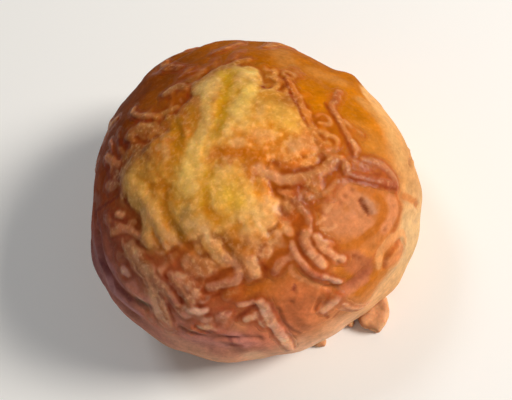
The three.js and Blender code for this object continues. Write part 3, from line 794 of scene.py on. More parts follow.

# Strokes on cheese and crust, by side of the view: the colour that they show under the lights, half
# width, strength and path. Besides colours of crust, cheese and fat, they hold painted shadows under and
# beside shreds, lobes and blisters, and painted highlights and glints on their tops.
# The darkest strokes here, in grooves and beside the shreds, are partly caramelised fat and partly painted
# shade, and the palest small ones are painted highlights on beads.
LEFT_MARKS = (
    ((78, 28, 18), 0.5, 0.9, ((-23.8, 9.8), (-25.6, 8.6), (-28.4, 9.2), (-31.2, 10.6), (-34, 12.2),
                              (-37, 15.6))),
    ((78, 24, 12), 0.6, 0.9, ((-26, 20.4), (-26, 18), (-26.4, 15.6))),
    ((114, 68, 46), 1.4, 0.7, ((-27.6, 14.4), (-26.8, 12.6), (-25.6, 12.2))),
    ((98, 46, 24), 1.2, 0.6, ((-30.2, 20.6), (-30.8, 17.6))),
    ((98, 62, 52), 1.3, 0.6, ((-34.8, 18.4), (-33.6, 14.8), (-36, 15.6))),
    ((76, 40, 38), 0.7, 0.7, ((-37, 14), (-36, 9), (-36.8, 5), (-38.6, 3.4))),
    ((100, 54, 40), 1.3, 0.6, ((-35, 3.8), (-36.6, 2.2), (-37.6, -1))),
    ((94, 44, 30), 0.8, 0.6, ((-31, 3.6), (-29.8, 4.6))),
    ((150, 96, 66), 0.95, 0.9, ((-28.4, 4.4), (-27.8, 3.2))),
    ((104, 50, 28), 0.5, 0.7, ((-29.8, 4.2), (-28.8, 2.2), (-27.4, 1.6))),
    ((134, 76, 40), 0.7, 0.7, ((-27, 0), (-25.6, -1.2))),
    ((132, 80, 50), 1.1, 0.8, ((-32.8, 2), (-30.6, 1.2), (-28.6, -0.4), (-27.4, -2.6), (-26.6, -5))),
    ((132, 86, 66), 0.45, 0.8, ((-31.2, -1.4), (-32.4, -3.4))),
    ((84, 40, 28), 0.8, 0.8, ((-34.2, 0.8), (-33.8, -1.2))),
    ((94, 44, 24), 0.7, 0.8, ((-30.3, -3.2), (-30.5, -4.8))),
    ((102, 54, 38), 1.3, 0.7, ((-35, -3.2), (-34.2, -5))),
    ((130, 94, 82), 1.3, 0.9, ((-36.2, -6.8), (-35.6, -8.4))),
    ((82, 32, 26), 0.6, 0.8, ((-37.6, -8), (-36.6, -9.6), (-34.8, -10.4))),
    ((142, 92, 60), 2.5, 0.8, ((-30.8, -5), (-30.4, -9.8), (-30.2, -12.8), (-31.4, -15.4))),
    ((148, 100, 72), 2.5, 0.8, ((-31.4, -15.4), (-32.8, -18), (-36, -21.4), (-38.6, -24.4))),
    ((160, 114, 82), 0.9, 0.8, ((-29.8, -7.4), (-29.4, -9.6))),
    ((162, 116, 86), 0.8, 0.7, ((-29.6, -11.6), (-30.4, -14))),
    ((118, 66, 44), 0.45, 0.7, ((-31.8, -9), (-31.8, -12.4), (-33, -15))),
    ((172, 126, 104), 0.9, 0.7, ((-35, -18.6), (-36.6, -20.6))),
    ((118, 64, 46), 0.45, 0.6, ((-33.4, -18.6), (-35.2, -21.4), (-37, -24))),
    ((100, 50, 34), 0.6, 0.8, ((-34, -4.5), (-34.4, -8), (-34.6, -11), (-36, -14.6), (-38.6, -18.8))),
    ((108, 56, 40), 0.7, 0.7, ((-34.8, -10.8), (-35.2, -13.4))),
    ((108, 72, 70), 0.9, 0.8, ((-37.4, 6.6), (-39, 3.6), (-39.5, -1.2), (-39.5, -5.2), (-40, -9))),
    ((72, 36, 38), 0.9, 0.8, ((-43, 2.4), (-42.4, -3.2), (-42.2, -7.2), (-41.4, -12), (-39.6, -16))),
    ((94, 68, 68), 1.2, 0.6, ((-41.4, 11), (-42.8, 8), (-43.4, 5))),
    ((132, 86, 78), 1.8, 0.7, ((-37.6, -11.4), (-37.8, -14), (-37, -17.4))),
    ((112, 78, 80), 1.4, 0.7, ((-44.4, -4), (-44.6, -12), (-43.6, -17))),
    ((122, 68, 52), 2.4, 0.6, ((-41.6, -19), (-40.6, -25), (-39, -28))),
    ((146, 108, 84), 3.6, 0.35, ((-43, -29), (-43, -36), (-45, -46))),
    ((152, 98, 86), 1.6, 0.6, ((-37.4, -30), (-34.8, -36), (-34, -42))),
    ((122, 56, 14), 1.2, 0.8, ((-28.6, -9.8), (-27.4, -11.2), (-25.8, -12.8), (-23.6, -14.2))),
    ((140, 72, 4), 1.0, 0.8, ((-21.6, -15.2), (-19, -16.2), (-17.4, -15.8))),
    ((148, 100, 70), 1.2, 0.7, ((-29.8, -14), (-30.2, -15.6))),
    ((122, 60, 34), 0.5, 0.7, ((-28, -14.8), (-28, -19), (-28.8, -23))),
    ((154, 92, 60), 1.0, 0.8, ((-25.8, -17.4), (-26.2, -21.5), (-27.2, -24.6), (-28, -26.4))),
    ((142, 90, 64), 1.2, 0.8, ((-30, -15.4), (-29.8, -19.6), (-31, -23.4), (-31.4, -26.6))),
    ((150, 104, 78), 1.0, 0.6, ((-34, -17.4), (-37, -20.4))),
    ((112, 52, 34), 0.55, 0.7, ((-31.6, -18.6), (-32.6, -21.4), (-33, -24))),
    ((142, 82, 66), 0.8, 0.6, ((-30.2, -22.4), (-29.4, -23.2))),
    ((106, 52, 38), 0.6, 0.7, ((-33, -21.6), (-34.4, -24), (-35.6, -25.6))),
    ((198, 146, 120), 0.9, 0.9, ((-29.6, -27), (-28, -28.3), (-26, -30))),
    ((178, 118, 98), 0.9, 0.7, ((-31.4, -26.8), (-30.8, -28))),
    ((146, 66, 28), 1.0, 0.7, ((-22.4, -21.8), (-22.8, -24))),
    ((152, 80, 38), 1.0, 0.6, ((-21.4, -24), (-19.4, -26))),
    ((176, 116, 92), 0.9, 0.7, ((-28.6, -31.6), (-27.4, -32.4))),
    ((176, 116, 90), 0.9, 0.7, ((-25.2, -33.6), (-22.6, -35))),
    ((112, 50, 34), 0.5, 0.7, ((-27, -31), (-24.6, -32.6), (-21.4, -33.4), (-20.6, -36))),
    ((138, 66, 30), 0.8, 0.7, ((-18.6, -29.8), (-21, -29.4), (-21.8, -31.8))),
    ((160, 84, 48), 1.4, 0.6, ((-22.6, -31.4), (-19.6, -33))),
    ((166, 84, 22), 1.5, 0.8, ((-18.6, -31), (-15.2, -33.4), (-11, -35.4))),
    ((110, 60, 54), 0.5, 0.8, ((-30.6, -34.4), (-29, -36.8), (-28.8, -39.8), (-31, -43))),
    ((168, 108, 98), 1.8, 0.6, ((-28, -38), (-27, -42), (-28, -46))),
    ((118, 58, 46), 0.7, 0.6, ((-31.6, -43.4), (-29.6, -45.2))),
    ((188, 118, 78), 1.8, 0.7, ((-25, -37.4), (-23.6, -40.4))),
    ((130, 56, 26), 0.7, 0.8, ((-22.6, -38.2), (-19.8, -38), (-16.8, -37.4))),
    ((124, 80, 58), 2.0, 0.4, ((-30, -0.6), (-30.2, -3))),
)
# The dark lines beside the wide pale shred are partly painted shadow, the palest small strokes on it are
# painted highlights on beads, and the blister has a painted shadow on its upper edge and painted light on
# its lower side.
LOWER_MARKS = (
    ((204, 146, 84), 1.8, 0.7, ((-12.2, -15.4), (-12.9, -18.6))),
    ((200, 136, 80), 1.8, 0.7, ((-13.1, -19.6), (-13.6, -23.2))),
    ((218, 168, 112), 0.8, 0.7, ((-12.2, -16), (-13.2, -18.4))),
    ((164, 92, 42), 0.4, 0.7, ((-15.4, -18), (-15.8, -21.4), (-15.2, -24.4))),
    ((184, 120, 84), 1.0, 0.8, ((-12.6, -24.4), (-12, -27.6))),
    ((164, 94, 50), 2.2, 0.6, ((-20.4, -18.4), (-19, -21.6), (-17.2, -24))),
    ((178, 110, 60), 0.8, 0.6, ((-17.6, -20.2), (-16.6, -22.6))),
    ((172, 108, 78), 0.9, 0.8, ((-12.8, -29.6), (-15.4, -29.6), (-18, -28), (-20.6, -26.8))),
    ((144, 68, 28), 0.7, 0.5, ((-17.4, -25.2), (-15.6, -27.2), (-13.8, -27.6))),
    ((172, 92, 18), 0.8, 0.8, ((-9.8, -21.6), (-8, -23.4))),
    ((214, 144, 84), 1.0, 0.7, ((-6.2, -24), (-4.8, -26.4))),
    ((208, 146, 96), 1.1, 0.8, ((-8.2, -28.6), (-9.4, -31.6))),
    ((164, 92, 50), 0.6, 0.7, ((-10.6, -26.6), (-11, -29.4), (-11.8, -32.4))),
    ((146, 66, 22), 0.7, 0.8, ((-7, -31), (-8.2, -34))),
    ((190, 126, 94), 0.6, 0.9, ((-19, -35), (-16.6, -36.5), (-14.2, -37.8))),
    ((142, 70, 42), 0.6, 0.7, ((-22.4, -34.4), (-20.6, -35.4))),
    ((190, 132, 100), 1.6, 0.8, ((-14.2, -39.4), (-15.4, -43.4), (-16.8, -48.4))),
    ((190, 128, 96), 1.8, 0.8, ((-17.2, -50), (-19.2, -55), (-21.4, -60))),
    ((210, 158, 130), 0.7, 0.7, ((-15.2, -40.6), (-15.8, -42.4))),
    ((206, 152, 122), 0.8, 0.6, ((-17, -45.6), (-17.6, -48.4))),
    ((206, 148, 114), 0.8, 0.6, ((-18.4, -51.4), (-19.4, -54.4))),
    ((168, 104, 76), 0.5, 0.6, ((-14.4, -44.2), (-16.6, -44.6))),
    ((166, 100, 72), 0.5, 0.6, ((-15.4, -49.6), (-18.6, -50.2))),
    ((170, 104, 74), 0.5, 0.6, ((-18, -56.6), (-21.4, -56.4))),
    ((140, 72, 46), 0.5, 0.7, ((-15.8, -38.8), (-17.9, -43.4), (-19.4, -49.4), (-21.8, -55.4))),
    ((154, 82, 54), 0.6, 0.7, ((-12, -40), (-13.3, -44.4), (-14.6, -49), (-16.8, -55.6))),
    ((160, 98, 82), 1.6, 0.6, ((-26.8, -45), (-25.6, -48))),
    ((222, 154, 108), 3.0, 0.35, ((-34, -67), (-23, -70.8), (-10, -72.4))),
    ((180, 132, 104), 3.4, 0.3, ((-34, -52), (-38.4, -59))),
    ((212, 146, 104), 0.9, 0.7, ((1.4, -32), (1, -34.4))),
    ((194, 116, 78), 0.8, 0.7, ((1, -36), (1.2, -38.4))),
    ((172, 90, 60), 0.8, 0.8, ((1.8, -39.4), (3, -41.8))),
    ((204, 134, 102), 0.9, 0.8, ((4, -42), (5.4, -44.2))),
    ((222, 162, 130), 0.7, 0.8, ((5.6, -44.6), (6.3, -45.6))),
    ((168, 82, 44), 0.4, 0.7, ((-0.1, -36), (0.3, -39), (1.3, -41.6), (3.2, -44.4), (5.6, -46.6))),
    ((132, 58, 40), 0.55, 0.9, ((-3.8, -40.2), (-4.8, -40.9))),
    ((214, 132, 80), 0.6, 0.9, ((-1.6, -35.2), (-2.3, -38), (-0.4, -41.4), (2.4, -45.6))),
    ((162, 74, 20), 0.9, 0.8, ((4.4, -29.6), (3.4, -32.2), (3.2, -35.2))),
    ((184, 100, 54), 0.8, 0.6, ((3.6, -37.6), (4.4, -40.4))),
    ((204, 130, 84), 1.2, 0.7, ((5.8, -30.6), (4.7, -32.4), (4.4, -34.6))),
    ((218, 152, 108), 1.1, 0.8, ((4.4, -35.4), (5, -38.6))),
    ((222, 152, 104), 0.8, 0.7, ((7.4, -32.6), (7.6, -34.4))),
    ((188, 104, 56), 0.35, 0.4, ((6.1, -32.4), (6.1, -35.4), (6.9, -39))),
    ((188, 110, 66), 0.35, 0.6, ((3.2, -33.4), (5.6, -34))),
    ((190, 112, 68), 0.35, 0.6, ((3.4, -36.8), (6, -36.4))),
    ((192, 112, 66), 0.35, 0.6, ((6.8, -36), (8.8, -35.6))),
    ((190, 110, 66), 0.35, 0.6, ((7.6, -38.6), (9.6, -37.8))),
    ((204, 132, 86), 0.9, 0.7, ((7.2, -34.4), (7.7, -36.8), (8.2, -38.6))),
    ((212, 144, 102), 1.0, 0.7, ((8.6, -39.6), (9.8, -40.2))),
    ((180, 108, 66), 1.0, 0.7, ((-0.6, -33.2), (-3, -33.2), (-5.6, -34.2))),
    ((166, 82, 40), 0.6, 0.7, ((1.4, -47.4), (0.4, -48.6), (-1.2, -49.2))),
    ((206, 140, 102), 1.3, 0.8, ((3, -49.4), (0.4, -50.6), (-2.4, -51.6))),
    ((182, 110, 72), 0.5, 0.7, ((4.2, -50.8), (2.4, -53), (4.4, -57.4), (7.4, -62))),
    ((212, 140, 94), 1.3, 0.7, ((3.4, -54.6), (8, -58), (13, -62.4))),
    ((196, 118, 76), 1.0, 0.6, ((4.5, -49), (9, -48.9), (13, -48.2))),
    ((174, 94, 62), 0.7, 0.8, ((5.6, -47), (8.4, -47.9), (11.6, -47.8), (15, -47.2))),
    ((192, 110, 74), 0.9, 0.6, ((5.4, -48.6), (9, -49.2), (13, -48.8))),
    ((186, 94, 38), 0.5, 0.9, ((19.8, -49.6), (20.8, -47.6), (22.4, -46.4), (25, -45.4), (28.2, -45.6))),
    ((216, 132, 78), 1.6, 0.9, ((21.8, -49), (24.6, -48.2), (27.4, -47.2))),
    ((228, 158, 100), 0.8, 0.7, ((21.6, -51.4), (25, -51), (28.4, -50), (30.6, -47.6))),
    ((228, 148, 90), 0.8, 0.6, ((21.8, -44.6), (24.4, -43.8), (28, -44.2))),
    ((214, 108, 34), 1.8, 0.6, ((8.2, -22.4), (11, -23.8))),
    ((176, 98, 20), 2.2, 0.5, ((-8.4, -20.8), (-7.6, -26))),
    ((172, 108, 86), 2.6, 0.5, ((-15.4, -49.2), (-17, -51.4))),
    ((136, 80, 62), 2.6, 0.5, ((-25, -33.6), (-25.6, -36.8))),
)
POOL_MARKS = (
    ((206, 162, 92), 2.0, 0.6, ((6.4, 15), (10, 15.6))),
    ((200, 152, 48), 1.6, 0.7, ((13, 16.4), (15.6, 15.2))),
    ((222, 188, 104), 1.8, 0.6, ((18, 16), (20, 12.6))),
    ((198, 142, 18), 1.3, 0.8, ((13.6, 14), (11.6, 10.4), (8.4, 7), (6, 3), (2.4, 0.6))),
    ((238, 188, 92), 1.8, 0.7, ((16, 6.6), (13, 4.6), (10, 3))),
    ((212, 164, 86), 1.3, 0.7, ((7, 13), (4.6, 8.4), (2.6, 5), (-1, 2.8))),
    ((220, 172, 88), 1.7, 0.7, ((-2, 2), (-4.4, 0.2), (-7, -2.6), (-9.4, -6))),
    ((184, 116, 8), 1.6, 0.7, ((-2.4, 11.4), (-4, 8.4), (-5.8, 5), (-8.4, 2.4))),
    ((186, 116, 16), 1.0, 0.6, ((2, 13), (1.6, 9.6), (0.4, 7))),
    ((200, 106, 2), 1.5, 0.8, ((0.4, -3), (4.2, -6.2), (7.4, -9))),
    ((196, 104, 4), 1.2, 0.7, ((5.4, -9.6), (3.8, -12.6))),
    ((212, 132, 40), 1.0, 0.6, ((7, -1.4), (7.4, -3.6))),
    ((230, 168, 98), 1.0, 0.6, ((5, -4), (6.4, -5))),
    ((234, 164, 94), 1.4, 0.5, ((10, -4.6), (12, -6.8))),
    ((246, 180, 78), 2.4, 0.7, ((17.6, -3), (18.6, -7))),
    ((216, 140, 40), 1.8, 0.6, ((18, 3), (20.4, 1.4))),
    ((220, 152, 100), 1.3, 0.7, ((5.8, -11.8), (7, -14.4), (8.8, -16.8))),
    ((174, 78, 14), 0.7, 0.8, ((6, -17.6), (8.6, -19.2), (10.6, -20.6))),
    ((200, 88, 14), 1.0, 0.7, ((9.6, -21), (11.4, -20))),
    ((186, 82, 12), 1.8, 0.7, ((4.6, -24.6), (6.4, -27))),
    ((232, 172, 106), 1.8, 0.5, ((3.6, -20.4), (5.2, -22.4))),
    ((216, 160, 46), 2.0, 0.7, ((-3, -12.6), (-2.4, -16))),
    ((196, 136, 20), 1.1, 0.7, ((-4.2, -6), (-6.6, -9), (-9, -11.6))),
    ((190, 116, 12), 1.2, 0.7, ((-9, -13), (-8.6, -16.4))),
    ((156, 90, 12), 0.8, 0.8, ((-16.4, 1.4), (-14.2, -0.8), (-13.2, -2))),
    ((158, 98, 22), 0.9, 0.8, ((-15.2, -2.8), (-16.8, -4.6), (-17.2, -7.6), (-17, -10.6), (-17.6, -13.8))),
    ((174, 124, 62), 1.6, 0.8, ((-20.2, 8), (-20.6, 4.6), (-21, 0.6))),
    # Painted shadow along the left edge of the pool's lobe.
    ((122, 68, 28), 0.5, 0.6, ((-23.6, 9.6), (-24.6, 7), (-24.8, 4), (-24.6, 1.2))),
    ((108, 50, 10), 0.5, 0.7, ((-24.6, 0.8), (-24.2, -1.2), (-24.4, -3))),
    ((170, 120, 58), 1.3, 0.8, ((-22.6, 4), (-23, 0.6), (-22.6, -2))),
    ((176, 124, 68), 1.4, 0.8, ((-21.8, -2), (-23.4, -5), (-25, -7.6), (-25.8, -9.4))),
    ((182, 130, 72), 1.0, 0.7, ((-19.8, -2.2), (-20.2, -4.6))),
    ((174, 124, 68), 1.2, 0.7, ((-20.6, -6.6), (-21, -10))),
    ((190, 136, 82), 0.9, 0.7, ((-20, -10.8), (-20.4, -12.4))),
    ((178, 126, 64), 1.5, 0.6, ((-13.8, -10.6), (-15, -13))),
    ((208, 156, 98), 0.8, 0.7, ((-14.2, -12.4), (-13.4, -13.8))),
    ((232, 166, 106), 1.8, 0.5, ((15.4, -12.2), (18.6, -12.6))),
    ((198, 102, 28), 0.7, 0.8, ((9.4, -12.6), (11, -14.4), (12.8, -16.2), (14.6, -17.8))),
    ((206, 132, 82), 1.2, 0.7, ((9.6, -17), (15, -18.6))),
)
# The darkest strokes here, under and beside the shreds, are painted shadows, and the palest small strokes
# on their tops are painted highlights.
UPPER_MARKS = (
    ((104, 54, 22), 2.4, 0.5, ((2.4, 38), (4.8, 34.6), (6.2, 30.4))),
    ((98, 46, 14), 2.6, 0.5, ((-11.8, 32), (-5.8, 34.8), (-2.8, 35.2))),
    ((132, 66, 4), 1.8, 0.6, ((-4, 26.8), (-5, 23.4), (-7.2, 25.2))),
    ((130, 68, 4), 1.6, 0.6, ((-1.8, 19.2), (-4.2, 19.8))),
    ((150, 84, 16), 1.4, 0.6, ((-2, 14.2), (-5.6, 14.2))),
    ((152, 98, 54), 1.3, 0.9, ((-0.8, 22.8), (0.8, 22.6), (2.6, 21.8))),
    ((142, 84, 36), 0.8, 0.7, ((2.8, 21.6), (3.8, 20))),
    ((170, 114, 66), 0.5, 0.6, ((0, 23.4), (1.6, 23.2))),
    ((108, 46, 2), 0.5, 0.8, ((-2.2, 23.8), (-2, 21.4), (-0.6, 19.8))),
    ((114, 52, 4), 0.5, 0.7, ((4.8, 21), (4.6, 19))),
    ((138, 84, 46), 0.85, 0.9, ((-9.8, 27.4), (-10.8, 25.8), (-10, 23.2), (-8.2, 20.8), (-6.8, 19.2))),
    ((164, 110, 66), 0.45, 0.8, ((-10, 27.6), (-11, 26.4))),
    ((156, 100, 58), 0.5, 0.7, ((-8, 20.8), (-7, 19.6))),
    ((82, 22, 2), 0.6, 0.9, ((-11.8, 24.6), (-10.8, 21.6), (-9, 19))),
    ((126, 72, 32), 1.7, 0.7, ((-15.4, 19.4), (-13.6, 19.6), (-11.4, 19))),
    ((138, 84, 38), 1.5, 0.8, ((-11.4, 18.8), (-9.6, 17), (-8.2, 15.4))),
    ((128, 70, 28), 1.5, 0.7, ((-19, 15.6), (-16.6, 15.2), (-14.6, 13.4), (-12.8, 12.2))),
    ((148, 96, 52), 0.6, 0.7, ((-10.8, 19.4), (-9, 17.6))),
    ((70, 14, 0), 1.1, 0.9, ((-18.4, 22), (-17.4, 20.2), (-16.6, 17.6))),
    ((158, 92, 36), 1.4, 0.7, ((-10.4, 13.8), (-8.8, 13.4), (-7, 12))),
    ((180, 114, 48), 0.8, 0.7, ((-6.6, 10.4), (-6, 9.4))),
    ((160, 100, 44), 0.8, 0.7, ((-4.6, 16.6), (-2.8, 16.4), (-1, 15.8))),
    ((182, 112, 48), 0.7, 0.7, ((2.4, 13.8), (3.6, 12.6))),
    ((122, 50, 4), 0.7, 0.8, ((1.6, 16.6), (2.4, 14.8))),
    ((176, 108, 60), 0.4, 0.7, ((1.3, 17), (1, 16.2))),
    ((198, 138, 72), 1.1, 0.7, ((-9.8, 8.4), (-8.8, 7.2), (-9.2, 5.2))),
    ((174, 108, 8), 1.5, 0.7, ((-4, 10.2), (-5, 7.4), (-5.8, 5))),
    ((138, 78, 36), 0.6, 0.6, ((-16.6, 15.4), (-16.8, 14))),
    ((148, 86, 34), 0.6, 0.6, ((-13.4, 10.8), (-13.2, 9.4))),
    ((112, 54, 12), 0.5, 0.7, ((-16.8, 17.2), (-14, 15.8), (-12, 14))),
    ((134, 80, 34), 1.4, 0.6, ((-17, 11.6), (-19.4, 10.8))),
    ((140, 78, 50), 0.6, 0.8, ((-20.8, 26.4), (-20.6, 24.2))),
    ((108, 48, 20), 0.6, 0.6, ((-21, 23.2), (-21.4, 21.8))),
    ((124, 74, 46), 1.2, 0.8, ((-24, 22.4), (-23, 19), (-21.8, 16.2))),
    ((104, 58, 40), 0.9, 0.7, ((-23.6, 35), (-22.2, 35.8), (-20.8, 34.6))),
    ((102, 52, 30), 0.9, 0.6, ((-23.4, 15.8), (-23.2, 14.2))),
    ((86, 32, 12), 0.7, 0.7, ((-23.8, 13), (-23.4, 11.4))),
    ((80, 28, 8), 0.4, 0.8, ((-15.5, 31.2), (-15.5, 30.8))),
    ((206, 134, 60), 2.8, 0.5, ((37, 8.4), (40.4, 1.6))),
    ((192, 126, 60), 3.2, 0.5, ((30.6, 11), (32.5, 20))),
    ((178, 108, 24), 2.6, 0.5, ((16, 18.6), (20, 16))),
    ((150, 84, 18), 2.2, 0.5, ((6.5, 20.4), (10.5, 18.6))),
    ((200, 108, 20), 1.8, 0.5, ((21.8, -1), (23.2, -2.2))),
)
# The palest small strokes on the shreds are painted glints, and the dark lines beside the shreds are partly
# painted shade.
RIGHT_MARKS = (
    ((196, 110, 10), 2.6, 0.5, ((35, -5.4), (33, -9))),
    ((234, 176, 104), 2.0, 0.4, ((41.4, -7), (41, -12), (39.8, -18), (39, -25))),
    ((184, 104, 36), 0.8, 0.6, ((33, 7.2), (34.4, 4.6), (34.6, 2), (35, -0.4))),
    ((196, 106, 32), 0.8, 0.7, ((25.8, 4), (24.6, -1.6), (23.2, -6), (21.8, -10.2))),
    ((168, 72, 4), 0.5, 0.8, ((26.4, 7), (24.2, 1.6), (23.2, -1.4), (22, -5), (21, -9))),
    ((206, 120, 54), 0.8, 0.7, ((21.4, -11.6), (20.8, -14.6), (20.6, -17.2))),
    ((212, 130, 52), 1.2, 0.6, ((20, -8.4), (20.4, -11.4))),
    ((220, 140, 72), 0.8, 0.7, ((17.6, -11.6), (18.6, -13.6))),
    ((188, 112, 46), 0.7, 0.7, ((27.2, 8.6), (28.2, 10.2), (29.3, 8.6), (29.2, 7.2), (28, 6))),
    ((172, 90, 22), 0.6, 0.7, ((28, 8.4), (28, 7.6))),
    ((176, 82, 20), 0.5, 0.9, ((29.8, -5.2), (28.4, -9.8), (27, -14), (26, -17.8), (25.2, -20.4))),
    ((186, 102, 50), 1.1, 0.8, ((36.6, -2.8), (34, -4.4), (32.6, -5.6))),
    ((202, 122, 66), 0.8, 0.8, ((32, -5.8), (30.6, -7), (29.6, -9.2))),
    ((200, 114, 54), 0.7, 0.7, ((29, -11), (28, -14.6), (27, -17))),
    ((232, 158, 90), 0.6, 0.8, ((30.2, -11.6), (30.2, -14))),
    ((230, 150, 78), 0.6, 0.7, ((30.8, -15.2), (31.2, -16.8))),
    ((224, 150, 96), 0.7, 0.8, ((27.9, -17.6), (27.4, -19.4))),
    ((206, 126, 62), 0.5, 0.7, ((24.8, -7.8), (26.6, -8), (27, -9.6), (26.2, -11), (24.8, -11))),
    ((182, 94, 30), 0.6, 0.7, ((25.4, -9.2), (25.4, -9.8))),
    ((228, 146, 70), 0.7, 0.7, ((23.6, -13.4), (24.5, -14.6))),
    ((212, 124, 48), 0.7, 0.6, ((24.3, -15.8), (23, -17))),
    ((194, 118, 74), 1.1, 0.8, ((27.6, -22.4), (29.4, -23.8), (31.4, -26), (32.4, -28.6), (32.4, -30.6))),
    ((186, 100, 60), 0.9, 0.8, ((21.8, -23.2), (23.2, -24.4), (25.2, -26.2), (27.6, -28), (30.2, -29.8),
                                (32, -31))),
    ((162, 74, 32), 0.45, 0.8, ((21.6, -24.4), (24.2, -27), (28, -29.8), (31.6, -31.8))),
    ((176, 82, 38), 0.45, 0.8, ((25, -23), (26.8, -25), (28.8, -26.8))),
    ((200, 106, 44), 0.6, 0.6, ((24.4, -22.2), (26, -24))),
    ((200, 126, 82), 0.7, 0.8, ((23, -20.2), (22.6, -22), (21.8, -23.2))),
    ((156, 66, 14), 0.55, 0.8, ((21.8, -19.8), (20.8, -21.4), (20.6, -22.8))),
    ((218, 144, 92), 1.1, 0.7, ((7.2, -15), (9, -17.2), (11.4, -18.5))),
    ((214, 136, 78), 1.1, 0.7, ((11.4, -18.5), (14.2, -19.2), (17, -19.8), (19.4, -19.8), (21, -19.2))),
    ((184, 88, 22), 0.5, 0.7, ((10.4, -15.4), (13, -17.2), (16.4, -18.2), (19.4, -17.6))),
    ((196, 112, 56), 0.8, 0.7, ((12, -19.6), (12.8, -20.8), (14, -21.4), (16, -20.8))),
    ((206, 120, 66), 0.7, 0.6, ((7, -19), (7.8, -20.4))),
    ((192, 110, 62), 0.7, 0.8, ((8, -22.4), (8.6, -24.6), (8.7, -26.6), (8, -28.6))),
    ((168, 84, 36), 0.5, 0.6, ((9.6, -24.4), (9.8, -27))),
    ((200, 120, 66), 0.6, 0.7, ((11.2, -24), (13.8, -24.4))),
    ((202, 126, 72), 0.7, 0.7, ((15.2, -24.4), (17.4, -24), (18.8, -23.6))),
    ((148, 66, 32), 0.5, 0.9, ((21.3, -29.8), (20.9, -31.6), (21, -33.8))),
    ((206, 140, 102), 0.8, 0.8, ((22.2, -30.8), (22.7, -32.4), (22.5, -33.8))),
    ((217, 137, 56), 3.2, 0.5, ((31, -15.5), (32.4, -20.5))),
    ((234, 166, 96), 2.4, 0.5, ((36, -27.6), (36, -31))),
    ((204, 110, 34), 1.8, 0.5, ((19.6, -12.2), (20.2, -14.4))),
)
SHOWN_MARKS = LEFT_MARKS + LOWER_MARKS + POOL_MARKS + UPPER_MARKS + RIGHT_MARKS

# How far from its middle a stroke is looked for at all, and the palest paint there is.
STROKE_REACH = 18
PALEST = 0.85

# Darker and lighter places: centre, radius, and how many times as light.
WASHES = (
    ((10, -23.4), 2.6, 0.62), ((8.1, -22.2), 1.6, 0.84), ((16.6, 18.2), 2.4, 0.78),
    ((22.4, -1.6), 1.6, 0.8), ((-15.7, -30.6), 2.0, 0.82), ((-9.5, -27.4), 1.8, 0.86),
    ((-32.4, -4), 2.0, 0.78), ((17.2, -27.6), 1.8, 1.18), ((-19.4, -61), 3.0, 0.85),
    ((36, -22.5), 2.6, 0.86), ((14.2, -27.4), 2.2, 0.78), ((14, -19), 1.6, 0.84),
    ((19.7, -19), 2.0, 0.84), ((6.5, -34.8), 2.2, 1.35), ((7.4, -38.8), 2.0, 1.15),
    ((3.2, -40), 2.4, 1.3), ((-13.4, -27.6), 2.2, 1.35), ((-0.6, -51), 3.2, 1.28),
    ((16.7, -14), 2.0, 1.2), ((25, -7.4), 2.2, 1.2), ((8.6, -12.2), 1.6, 1.25), ((4, -14.4), 2.6, 0.76),
    ((5, -9.6), 2.0, 0.8), ((14.5, -12.2), 1.6, 0.82), ((20.4, -0.8), 3.2, 0.74), ((18, -4), 2.4, 0.8),
    ((13, 4.9), 2.4, 0.86), ((8.7, 3.5), 2.2, 0.87), ((-30, -1.8), 2.6, 1.45), ((-23, -52), 3.6, 1.35),
    ((-18.6, -46.5), 2.8, 1.25), ((-17.8, -37.2), 2.4, 1.3), ((-26, -40), 3.2, 0.74),
    ((40, 3.4), 4.5, 1.16), ((-13, 10.5), 2.6, 0.74), ((-15.8, 13.6), 2.4, 0.8),
    ((-10.8, 24.4), 2.8, 0.76), ((-17.8, 2), 2.4, 1.24), ((-11.5, -11.2), 2.2, 0.8),
    ((-0.4, -5.5), 2.0, 0.88), ((5.9, -20.9), 1.8, 1.24), ((2.6, -25.6), 2.2, 1.19),
    ((29, -48), 3.2, 0.8), ((5, 22), 3.2, 0.76), ((5.5, 29), 4.0, 0.78), ((-28, -11.2), 2.2, 0.76),
    ((-29.8, -17.6), 2.0, 0.8), ((20.8, -32.7), 2.0, 0.8),
)

# Where the lights stand, and about what they give, so that shown colours can be turned into paint.
KEY_FROM = (0.81, -0.51, 0.63)
KEY_LENGTH = 1.145
KEY_LIGHT = np.array((1.16, 1.08, 0.98))
WINDOW_FROM = (0.05, 0.5, 0.86)
WINDOW_LIGHT = 0.18
SKY_LIGHT = 0.24
FLOOR_LIGHT = 0.5

# Toasted cheese and the beads in it; caramelised fat, also used for painted shade beside the shreds
# and in low places; fat that is deep, in the pool's hollows, partly its own colour and partly painted
# shade; painted shade in folds and pits; and the baked base.
TOASTED = linear(190, 108, 18)
BEAD_PALE = linear(236, 184, 124)
CARAMEL_AND_SHADE = linear(128, 42, 4)
DEEP_FAT_AND_SHADE = linear(196, 116, 0)
FOLD_SHADE = linear(128, 58, 30)
BASE_BROWN = linear(178, 112, 62)

